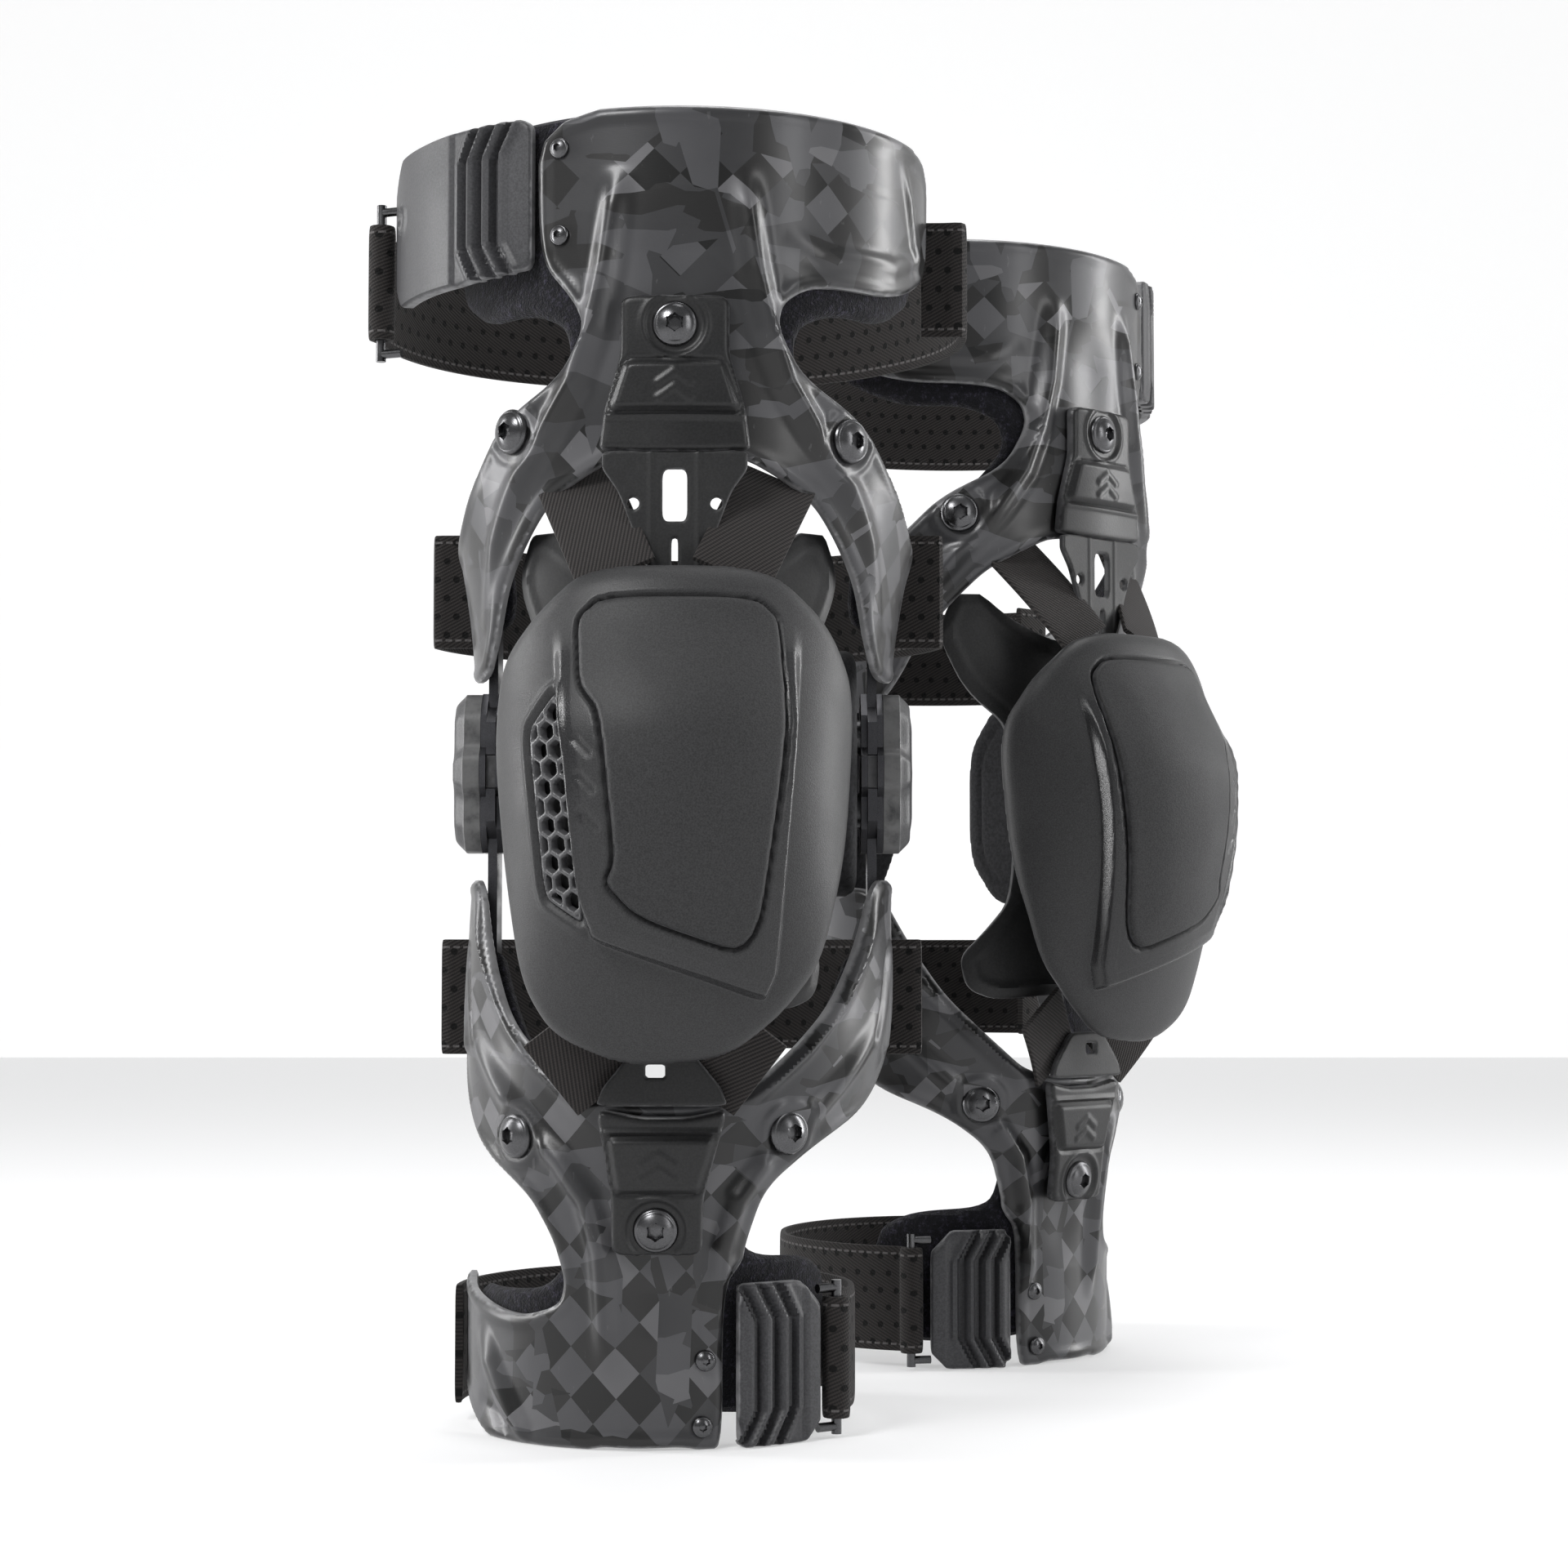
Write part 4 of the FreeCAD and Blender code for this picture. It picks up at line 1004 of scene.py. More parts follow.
@dataclass(frozen=True)
class Metal(Finish):
    """Bare or plated metal for CAD nodes and screws: fine scratches and dull patches."""

    colour: Colour = (0.1, 0.1, 0.1)
    scratched: float = 0.3

    def lay(self, paint: Paint, effects: Effects) -> None:
        """Lay scratches that run one way, and patches of another roughness."""
        brushed = paint.mapped(paint.space(), 12.0, (1.0, 0.15, 1.0))
        grain = paint.use(effects.grain, brushed, Scale=2600.0, Drift_Scale=90.0)
        light = tuple(min(c * (1 + self.scratched), 1.0) for c in self.colour)
        paint.set(Base_Color=paint.mix(grain["Grain"], self.colour, light),
                  Roughness=paint.span(grain["Drift"], 0.0, 1.0, self.roughness * 0.75,
                                       self.roughness * 1.3))
        paint.bump(grain["Height"], 0.15, 0.00005)


@dataclass(frozen=True)
class Fleece(Finish):
    """Short dark pile with a faint violet fleck over foam."""

    colour: Colour = (0.006, 0.006, 0.008)
    fleck: Colour = (0.040, 0.037, 0.055)

    def lay(self, paint: Paint, effects: Effects) -> None:
        """Lay flecks where a coarse fuzz and the fine grain meet."""
        space = paint.space()
        grain = paint.use(effects.grain, space, Scale=1300.0, Drift_Scale=60.0)
        fuzz = paint.noise(space, 420.0, 5.0, 0.75)
        share = paint.math("MULTIPLY", paint.span(fuzz, 0.48, 0.66), grain["Grain"])
        paint.set(Base_Color=paint.mix(share, self.colour, self.fleck))
        paint.bump(paint.math("ADD", fuzz, grain["Height"]), 0.9, 0.0007)


@dataclass(frozen=True)
class Webbing(Finish):
    """Woven strap: twill cords, rows of punched holes and stitching near each edge."""

    colour: Colour = (0.010, 0.009, 0.009)
    light: Colour = (0.026, 0.023, 0.022)
    cords: float = 5200.0
    holes: float = 0.15
    stitched: bool = True

    def lay(self, paint: Paint, effects: Effects) -> None:
        """Lay the weave, then the holes and the stitches where the strap has them."""
        flat = paint.flat_map()
        weave = paint.use(effects.weave, flat, Cords=self.cords, Threads=self.cords * 1.7)
        colour, height = paint.mix(weave["Mask"], self.colour, self.light), weave["Height"]
        if self.holes:
            hole = paint.use(effects.punched, flat, Pitch=6.2, Radius=self.holes)["Hole"]
            colour = paint.mix(hole, colour, (0.002, 0.002, 0.002))
            height = paint.math("MULTIPLY_ADD", hole, -6.0, height)
        if self.stitched:
            run = paint.math("FRACT", paint.math("MULTIPLY", paint.split(flat)[0], 310.0))
            away = paint.math("ABSOLUTE", paint.math("SUBTRACT", paint.carried("edge"), 2.6))
            stitch = paint.math("MULTIPLY", paint.math("GREATER_THAN", run, 0.35),
                                paint.span(away, 0.25, 0.5, 1.0, 0.0))
            colour = paint.mix(stitch, colour, (0.085, 0.08, 0.08))
            height = paint.math("MULTIPLY_ADD", stitch, 2.0, height)
        paint.set(Base_Color=colour)
        paint.bump(height, 0.5, 0.00018)


@dataclass(frozen=True)
class Foam(Finish):
    """Closed-cell foam under stretch cloth: pores and soft mottling."""

    colour: Colour = (0.010, 0.010, 0.011)

    def lay(self, paint: Paint, effects: Effects) -> None:
        """Lay the pores."""
        grain = paint.use(effects.grain, paint.space(), Scale=800.0, Drift_Scale=40.0)
        light = tuple(c * 2.2 for c in self.colour)
        paint.set(Base_Color=paint.mix(grain["Grain"], self.colour, light))
        paint.bump(grain["Height"], 0.6, 0.0003)


FINISHES: dict[str, Finish] = {finish.name: finish for finish in (
    Laminate("carbon_laminate", roughness=0.37, metallic=0.3, coat=0.2, coat_roughness=0.2),
    Fleece("fleece_liner", roughness=0.95, sheen=0.1, specular=0.15),
    Moulded("moulded_black", roughness=0.40, colour=(0.011, 0.011, 0.0115)),
    Metal("black_chrome", roughness=0.27, metallic=1.0, colour=(0.085, 0.085, 0.088)),
    Metal("dark_steel", roughness=0.34, metallic=0.9, colour=(0.06, 0.06, 0.065)),
    Webbing("perforated_webbing", roughness=0.85, sheen=0.04, specular=0.2),
    # Wing and cover plastics carry a brighter painted edge highlight.
    Moulded("wing_plastic", roughness=0.48, colour=(0.040, 0.040, 0.043),
            highlight_and_scuff_colour=(0.17, 0.17, 0.175)),
    Moulded("cover_plastic", roughness=0.4, colour=(0.040, 0.040, 0.042),
            highlight_and_scuff_colour=(0.12, 0.12, 0.12)),
    Foam("pad_foam", roughness=0.85, sheen=0.05, specular=0.2),
    Moulded("cup_plastic", roughness=0.47, colour=(0.024, 0.024, 0.025), scale=2400.0,
            speckle=0.35, depth=0.0002),
    Moulded("insert_pad", roughness=0.6, colour=(0.021, 0.021, 0.022), scale=2000.0,
            speckle=0.4, depth=0.0002, scuffs=0.03),
    Moulded("vent_plastic", roughness=0.3, colour=(0.075, 0.075, 0.078)),
    Moulded("carrier_plastic", roughness=0.5, colour=(0.012, 0.012, 0.0125)),
    Webbing("elastic_twill", roughness=0.85, colour=(0.012, 0.011, 0.011),
            light=(0.035, 0.031, 0.030), cords=4800.0, holes=0.0, stitched=False, sheen=0.05,
            specular=0.25),
)}


# ------------------------------------------------------------------ one brace


@dataclass
class Workshop:
    """What the sub-assemblies share: the brace's place and the finished materials."""

    site: Site
    materials: dict[str, bpy.types.Material]

    def body(self, name: str) -> str:
        """A body's full name on this brace."""
        return f"{self.site.side.value}_{name}"

    def add(self, name: str, surface: Surface, slot: str, body: str, sharp: float = 38.0,
            replaces: Sequence[str] | None = None) -> bpy.types.Object:
        """Make a piece, give it its finish and let it ride.

        Args:
            name: the piece's name, which is also the CAD node's unless `replaces` says more.
            surface: its surface in brace millimetres.
            slot: the record's material slot.
            body: the body it rides on, or "" for a piece left unattached.
            sharp: angle above which edges are sharp.
            replaces: the CAD nodes that it stands for.

        Returns:
            The piece.
        """
        piece = make_piece(name, surface, self.site, sharp)
        piece.data.materials.append(self.materials[slot])
        if body:
            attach(piece, self.body(body))
        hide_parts(*[self.body(n) for n in (replaces or [name])])
        LOG.info("%s: %d faces", piece.name, len(piece.data.polygons))
        return piece


THIGH_TUBE = Tube(((228, 67.3, 0, 0), (262, 70.5, 0.45, -0.6), (300, 77, 1.2, -1.6),
                   (335, 78, 1.5, -2), (410, 78.5, 1.5, -2)), (1.5, -2.0), 76.0)
SHIN_TUBE = Tube(((0, 60, -9, 2), (50, 60.5, -9, 2), (90, 64, -4.95, 1), (120, 68, -1.8, 0),
                  (150, 69, -0.9, 0), (190, 67.5, 0, 0)), (-4.0, 0.5), 64.0)
SHELL = 3.0
FRAME_SHARP = 42.0
MOULDED_SHARP = 40.0
FINE_SHARP = 50.0
LINER_GAP = 0.8
LINER = 5.5


def shell_slab(tube: Tube, patch: Patch, relief: Array) -> Surface:
    """A frame's wall: relief on the outside, and a rolled lip along every edge."""
    lip = 0.55 * bell(patch.edge, 2.6, 1.5)
    rolled = 0.9 * (1.0 - pillow(patch.edge, 1.6))
    outer = relief * smooth(patch.edge, 0.0, 3.5) + lip - rolled
    inner = -SHELL + 0.5 * (1.0 - pillow(patch.edge, 1.2))
    return slab(patch, tube.place, outer, np.minimum(inner, outer - 1.2))


def foam_slab(tube: Tube, patch: Patch) -> Surface:
    """A liner: a pad whose edges are rounded over, with a stitched line near them."""
    full = pillow(patch.edge, 3.6)
    groove = 0.6 * bell(patch.edge, 5.0, 0.9)
    front = -SHELL - LINER_GAP
    outer = front - (1 - full) * LINER * 0.45 - 0.25 * groove
    inner = front - LINER + (1 - full) * LINER * 0.45 + groove
    return slab(patch, tube.place, outer, inner)


def bossed(height: Array, places: Array, bosses: Sequence[tuple[float, float, float]],
           ring: float, fade: float) -> Array:
    """Flatten the relief round each screw and raise a disc with a ring there.

    Args:
        height: the relief so far.
        places: the grid places.
        bosses: (across, up, rise of the disc) of each boss.
        ring: the ring's radius.
        fade: radius at which the relief is whole again.

    Returns:
        The relief with its bosses.
    """
    for across, up, rise in bosses:
        gap = np.hypot(places[:, 0] - across, places[:, 1] - up)
        height = (height * smooth(gap, 7.0, fade) + bell(gap, ring, 1.3)
                  + rise * (1 - smooth(gap, 7.5, 10.0)))
    return height


@dataclass
class ThighFrame:
    """The upper shell: cuff band, neck and two arms, with its liner."""

    shop: Workshop
    step: float = 1.15
    top: float = 410.0
    ridge_nodes: tuple[tuple[float, float, float], ...] = (
        (12.5, 392, 0.0), (13.5, 380, 2.2), (15.5, 360, 3.2), (18.5, 342, 3.2), (23, 326, 3.0),
        (30, 312, 2.8), (40, 297, 2.4), (51, 280, 1.8), (60, 262, 0.8), (66, 250, 0.0))
    crease_nodes: tuple[tuple[float, float, float], ...] = (
        (25, 360, 0.0), (28, 345, 1.2), (36, 330, 1.6), (50, 318, 1.5), (62, 306, 1.3),
        (76, 292, 0.8), (90, 285, 0.0))
    boss_spots: tuple[tuple[float, float, float], ...] = ((-42.5, 313, 0.4), (42, 310, 0.4))

    def frame_outline(self) -> Array:
        """The shell's outline, cut level along the top."""
        top = self.top + 4
        lower = [(22.6, 343), (29, 328), (47, 316), (57.5, 302.6), (74, 287), (94, 281),
                 (101, 270), (101, 252), (96, 240), (70, 238.5), (61, 250), (53, 266),
                 (43, 279), (34, 290), (24, 297), (14, 303)]
        right = [(84, top), (84, 372), (59, 358), (32, 357), (24, 351)] + lower
        left = [(-a, z) for a, z in reversed(lower)] + [(-25, 351), (-35, 366), (-35, top)]
        outline = THIGH_TUBE.outline(right + left)
        outline[:, 1] = np.minimum(outline[:, 1], self.top)
        return outline

    def relief(self, patch: Patch) -> Array:
        """Ridges beside the neck, creases on the arms, bosses and stiffening folds."""
        spots = THIGH_TUBE.spots
        places = patch.place
        height = np.zeros(len(places))
        for hand in (-1.0, 1.0):
            lean = -1.5 if hand < 0 else 1.5
            main = [(hand * a + lean, z, h) for a, z, h in self.ridge_nodes]
            crease = [(hand * a, z, h) for a, z, h in self.crease_nodes]
            height += 1.5 * ridge(places, spots(main), 8.0, 1.6)
            height += 1.3 * ridge(places, spots(crease), 6.0, 1.2)
        height = bossed(height, places, spots(self.boss_spots), 9.2, 14.0)
        panel = ridge(places, spots([(0, 384, 0.0), (0, 366, -1.6), (0, 340, -1.2), (0, 322, 0)]),
                      17.0)
        fold = ridge(places, spots([(62, 404, 0.0), (66, 392, 1.3), (70, 374, 1.3), (74, 366, 0)]),
                     4.0)
        brow = ridge(places, spots([(24, 372, 0.0), (34, 367, 1.3), (58, 368, 1.5), (80, 380, 0)]),
                     5.0)
        seam = ridge(places, spots([(-32, 404, 0.6), (-32, 368, 0.6)]), 3.0)
        return height + panel + fold + brow + seam

    def build(self) -> None:
        """Make the shell and the liner."""
        patch = outline_patch(self.frame_outline(), self.step)
        frame = shell_slab(THIGH_TUBE, patch, self.relief(patch))
        self.shop.add("thigh_frame", frame, "carbon_laminate", "thigh", FRAME_SHARP)
        half = [(82, 430), (82, 364), (59, 350), (40, 350), (30, 345), (28, 335), (36, 323),
                (52, 306), (66, 295), (76, 285), (77, 264), (73, 255), (62, 255), (57, 264),
                (57, 288), (42, 302), (22, 310)]
        outline = THIGH_TUBE.outline(both_sides(half))
        outline[:, 1] = np.minimum(outline[:, 1], self.top)
        liner = foam_slab(THIGH_TUBE, outline_patch(outline, 1.6))
        self.shop.add("thigh_liner", liner, "fleece_liner", "thigh")


@dataclass
class ShinFrame:
    """The lower shell: calf band, neck and two arms, with its liner."""

    shop: Workshop
    step: float = 1.15
    neck_nodes: tuple[tuple[float, float, float], ...] = (
        (16.5, 22, 0.0), (17, 36, 2.4), (18, 60, 3.0), (22, 76, 3.0), (30, 88, 2.6), (40, 98, 2.2),
        (52, 110, 1.6), (66, 126, 1.0), (76, 146, 0.0))
    brim_nodes: tuple[tuple[float, float, float], ...] = (
        (17, 96, 0.0), (25, 108, 1.6), (38, 122, 2.2), (50, 138, 2.2), (62, 156, 1.4),
        (72, 170, 0.0))
    boss_spots: tuple[tuple[float, float, float], ...] = ((-45, 95, 0.9), (36, 96.5, 0.9))

    def frame_outline(self) -> Array:
        """The shell's outline, cut level along the foot."""
        arm_right = [(88, 175), (96, 172), (98, 150), (90, 124), (72, 103), (48, 92),
                     (31.5, 79.5), (26, 62)]
        band_right = [(25.5, 57), (19, 49), (19, -3), (8, 1), (-8.8, 0.5)]
        band_left = [(-20, 1), (-32, -4), (-62, -1), (-80, 8), (-93, 16), (-94, 50), (-84, 46),
                     (-48, 38.5), (-32, 43), (-30, 51)]
        arm_left = [(-34, 64), (-43, 78), (-70, 93), (-90, 116), (-98, 140), (-98, 168),
                    (-88, 175)]
        arch = [(-68, 175), (-58, 152), (-47, 130), (-30.5, 115.5), (-19, 106), (19, 106),
                (34.6, 121), (47.4, 135.5), (58, 154), (68, 175)]
        outline = SHIN_TUBE.outline(arch[::-1] + arm_left[::-1] + band_left[::-1]
                                    + band_right[::-1] + arm_right[::-1])
        outline[:, 1] = np.maximum(outline[:, 1], 0.0)
        return outline

    def relief(self, patch: Patch) -> Array:
        """Ridges beside the neck, a brim along the arch, dents in the arms and the band."""
        spots = SHIN_TUBE.spots
        places = patch.place
        height = np.zeros(len(places))
        for hand in (-1.0, 1.0):
            height += ridge(places, spots([(hand * a, z, h) for a, z, h in self.neck_nodes]),
                            7.5, 1.6) * 1.45
            height += 1.3 * ridge(places, spots([(hand * a, z, h) for a, z, h in self.brim_nodes]),
                                  5.5, 1.2)
            dent = [(hand * 79, 150, -2.0), (hand * 70, 126, -2.2)]
            height += ridge(places, spots(dent), 4.5, 0.6)
            height += ridge(places, spots([(hand * 86, 152, 0.4), (hand * 80, 122, 1.4)]), 4.0)
        height = bossed(height, places, spots(self.boss_spots), 9.0, 13.0)
        wedge = ridge(places, spots([(-66, 34, 0.3), (-60, 24, 2.6), (-47, 4, 2.4)]), 6.5, 0.7)
        fold = ridge(places, spots([(-68, 12, 0.0), (-58, 8, -1.8), (-48, 2, -1.8)]), 4.0, 0.7)
        panel = ridge(places, spots([(0, 88, 0.0), (0, 66, -1.2), (0, 48, -1.2), (0, 34, 0)]),
                      15.0)
        return height + wedge + fold + panel

    def build(self) -> None:
        """Make the shell and the liner."""
        patch = outline_patch(self.frame_outline(), self.step)
        frame = shell_slab(SHIN_TUBE, patch, self.relief(patch))
        self.shop.add("shin_frame", frame, "carbon_laminate", "shin", FRAME_SHARP)
        half_arm = [(78, 152), (78, 128), (62, 106), (45, 98), (30, 86), (25, 70)]
        band_line = [(29, 58), (62, 56), (80, 48), (82, 4), (-80, 20), (-84, 46), (-60, 46),
                     (-38, 48)]
        arch = [(-16, 96), (16, 96), (34, 110), (46, 126), (56, 142), (62, 152)]
        left_arm = [(-a, z) for a, z in reversed(half_arm)]
        left_arch = [(-62, 152), (-56, 142), (-46, 126), (-34, 110)]
        outline = SHIN_TUBE.outline(half_arm + band_line + left_arm + left_arch + arch)
        liner = foam_slab(SHIN_TUBE, outline_patch(outline, 1.6))
        self.shop.add("shin_liner", liner, "fleece_liner", "shin")


@dataclass
class Wings:
    """The two springing cuff ends with their ribs, and the four straps."""

    shop: Workshop
    thick: float = 4.0
    strap_thick: float = 2.6
    strap_width: float = 38.0
    fold_radius: float = 5.0

    @staticmethod
    def arc(start: tuple[float, float], middle: tuple[float, float],
            end: tuple[float, float]) -> Course:
        """A circle's arc through three places, as a course."""
        a, b, c = (np.asarray(p, float) for p in (start, middle, end))
        matrix = 2 * np.array([b - a, c - a])
        centre = np.linalg.solve(matrix, [b @ b - a @ a, c @ c - a @ a])
        angles = np.unwrap([math.atan2(*(p - centre)[::-1]) for p in (a, b, c)])
        turn = np.linspace(angles[0], angles[2], 160)
        radius = np.linalg.norm(a - centre)
        return Course(centre + radius * np.column_stack([np.cos(turn), np.sin(turn)]))

    def wing(self, name: str, course: Course, outline: Array, ribs: Sequence[float],
             band_limits: tuple[float, float], boss: tuple[float, float] | None) -> None:
        """A wing: upright ribs between deep grooves, a raised panel and a round boss."""
        patch = outline_patch(outline, 0.8)
        run, up = patch.place.T
        hand = -1.0 if name == "thigh_wing" else 1.0
        tall = smooth(up, band_limits[0], band_limits[0] + 1.5) * (
            1 - smooth(up, band_limits[1] - 1.5, band_limits[1]))
        middle = sum(band_limits) / 2
        bend = 0.55 * np.maximum(np.abs(up - middle) - (band_limits[1] - middle) * 0.55, 0.0)
        height = 0.9 * smooth(run, ribs[-1] + 4.5, ribs[-1] + 6.0) * tall
        for rib in ribs:
            gap = np.abs(run - rib + bend)
            height = height - 2.4 * (1 - smooth(gap, 1.0, 1.7)) * tall
            height = height + 0.8 * (smooth(gap, 1.2, 1.9) - smooth(gap, 3.6, 4.4)) * tall
        if boss:
            gap = np.hypot(run - boss[0], up - boss[1])
            height = height + 0.7 * bell(gap, 4.6, 0.8) - 0.5 * (
                1 - smooth(gap, 3.6, 4.4))
        outer = height - 1.0 * (1 - pillow(patch.edge, 1.5))
        inner = -self.thick + 0.8 * (1 - pillow(patch.edge, 1.2))

        def place(flat: Array, lift: Array) -> Array:
            """Put grid places on the course, lifted away from the leg."""
            return course.place(flat, hand * lift)

        surface = slab(patch, place, outer, np.minimum(inner, outer - 1.2))
        self.shop.add(name, surface, "wing_plastic", name, MOULDED_SHARP)

    @staticmethod
    def oval(centre: tuple[float, float], reach: tuple[float, float], inset: float,
             fronts: tuple[float, float]) -> list[tuple[float, float]]:
        """The loop behind the leg, from the -X front round the back to the +X front."""
        wide, deep = reach[0] - inset, reach[1] - inset
        first = math.asin((fronts[0] - centre[1]) / deep)
        last = math.asin((fronts[1] - centre[1]) / deep)
        turn = np.linspace(math.pi - first, last, 90)
        return list(zip(centre[0] + wide * np.cos(turn), centre[1] + deep * np.sin(turn)))

    def fold(self, at: tuple[float, float], start: float, end: float) -> list[tuple[float, float]]:
        """The sewn loop round a hook."""
        reach = self.fold_radius - self.strap_thick / 2
        turn = np.radians(np.linspace(start, end, 30))
        return list(zip(at[0] + reach * np.cos(turn), at[1] + reach * np.sin(turn)))

    def strap(self, name: str, nodes: list[tuple[float, float]], low: float, wavy: float,
              body: str) -> bpy.types.Object:
        """One strap, its edges rounded and its run slightly uneven."""
        def wave(run: Array) -> Array:
            """A slow swell along the strap: the product of two sines."""
            return wavy * np.sin(run / 23.0) * np.sin(run / 61.0 + 1.0)
        surface = band(Course.through(nodes, 3.0), low, low + self.strap_width,
                       self.strap_thick, wave=wave)
        return self.shop.add(name, surface, "perforated_webbing", body)

    def build(self) -> None:
        """Make both wings and all four straps."""
        site = self.shop.site
        thigh_arc = self.arc((-45.4, -66.5), (-77, -42), (-94, -4))
        length = thigh_arc.runs[-1]
        outline = rounded([(0, 410), (0, 363), (30, 361), (length - 12, 361), (length, 370),
                           (length, 400), (length - 14, 410)], 0.09)
        self.wing("thigh_wing", thigh_arc, outline, (13.5, 20.0, 26.5), (360.5, 410.5),
                  (length - 15.0, 389.0))
        shin_arc = self.arc((19.6, -53.8), (32.4, -46.6), (44.5, -36.6))
        length = shin_arc.runs[-1]
        outline = rounded([(0, 50), (0, 0), (length - 6, 0), (length, 6), (length, 42),
                           (length - 8, 50)], 0.1)
        self.wing("shin_wing", shin_arc, outline, (6.4, 12.6, 18.8), (-0.5, 50.5), None)

        half = self.strap_thick / 2
        thigh_fold, shin_fold = (-99.8, -3.0), (49.5, -31.5)
        loop = self.oval((-4.6, 0), (98, 88), half, (2.0, -9.0))
        nodes = self.fold(thigh_fold, 60, -175) + loop + [(90, -9), (86, -8.2), (78, -8.1)]
        upper = self.strap("thigh_strap_upper", nodes, 353.0, 0.6, "")
        self.shop.body("thigh_wing")
        self.shop.body("thigh")
        site.point(-99, 6, 372)
        site.point(-40, 80, 372)
        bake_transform(upper)
        loop = self.oval((1, 4), (87, 80), half, (15.4, 15.4))
        nodes = [(-67, 15.4), (-80, 15.4)] + loop + [(81, 15.4), (67, 15.4)]
        lower = self.strap("thigh_strap_lower", nodes, 253.0, 0.5, "thigh")
        self.shop.body("thigh_hinge")
        site.direction(0, 1)
        site.point(0, 14, 272)
        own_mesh(lower)
        loop = self.oval((-1, 2), (82, 76), half, (15.4, 15.4))
        nodes = [(-67, 15.4), (-78, 15.4)] + loop + [(76, 15.4), (65, 15.4)]
        calf = self.strap("calf_strap_upper", nodes, 118.0, 0.5, "shin")
        self.shop.body("link_hinge")
        site.direction(0, 1)
        site.point(0, 14, 137)
        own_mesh(calf)
        loop = self.oval((-9, 2), (65, 66), half, (0.0, -27.0))
        nodes = [(-72.4, -1.5)] + loop + self.fold(shin_fold, 30, -190)
        low = self.strap("calf_strap_lower", nodes, 6.0, 0.4, "")
        self.shop.body("shin_wing")
        self.shop.body("shin")
        site.point(52, -22, 25)
        site.point(30, 52, 25)
        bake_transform(low)


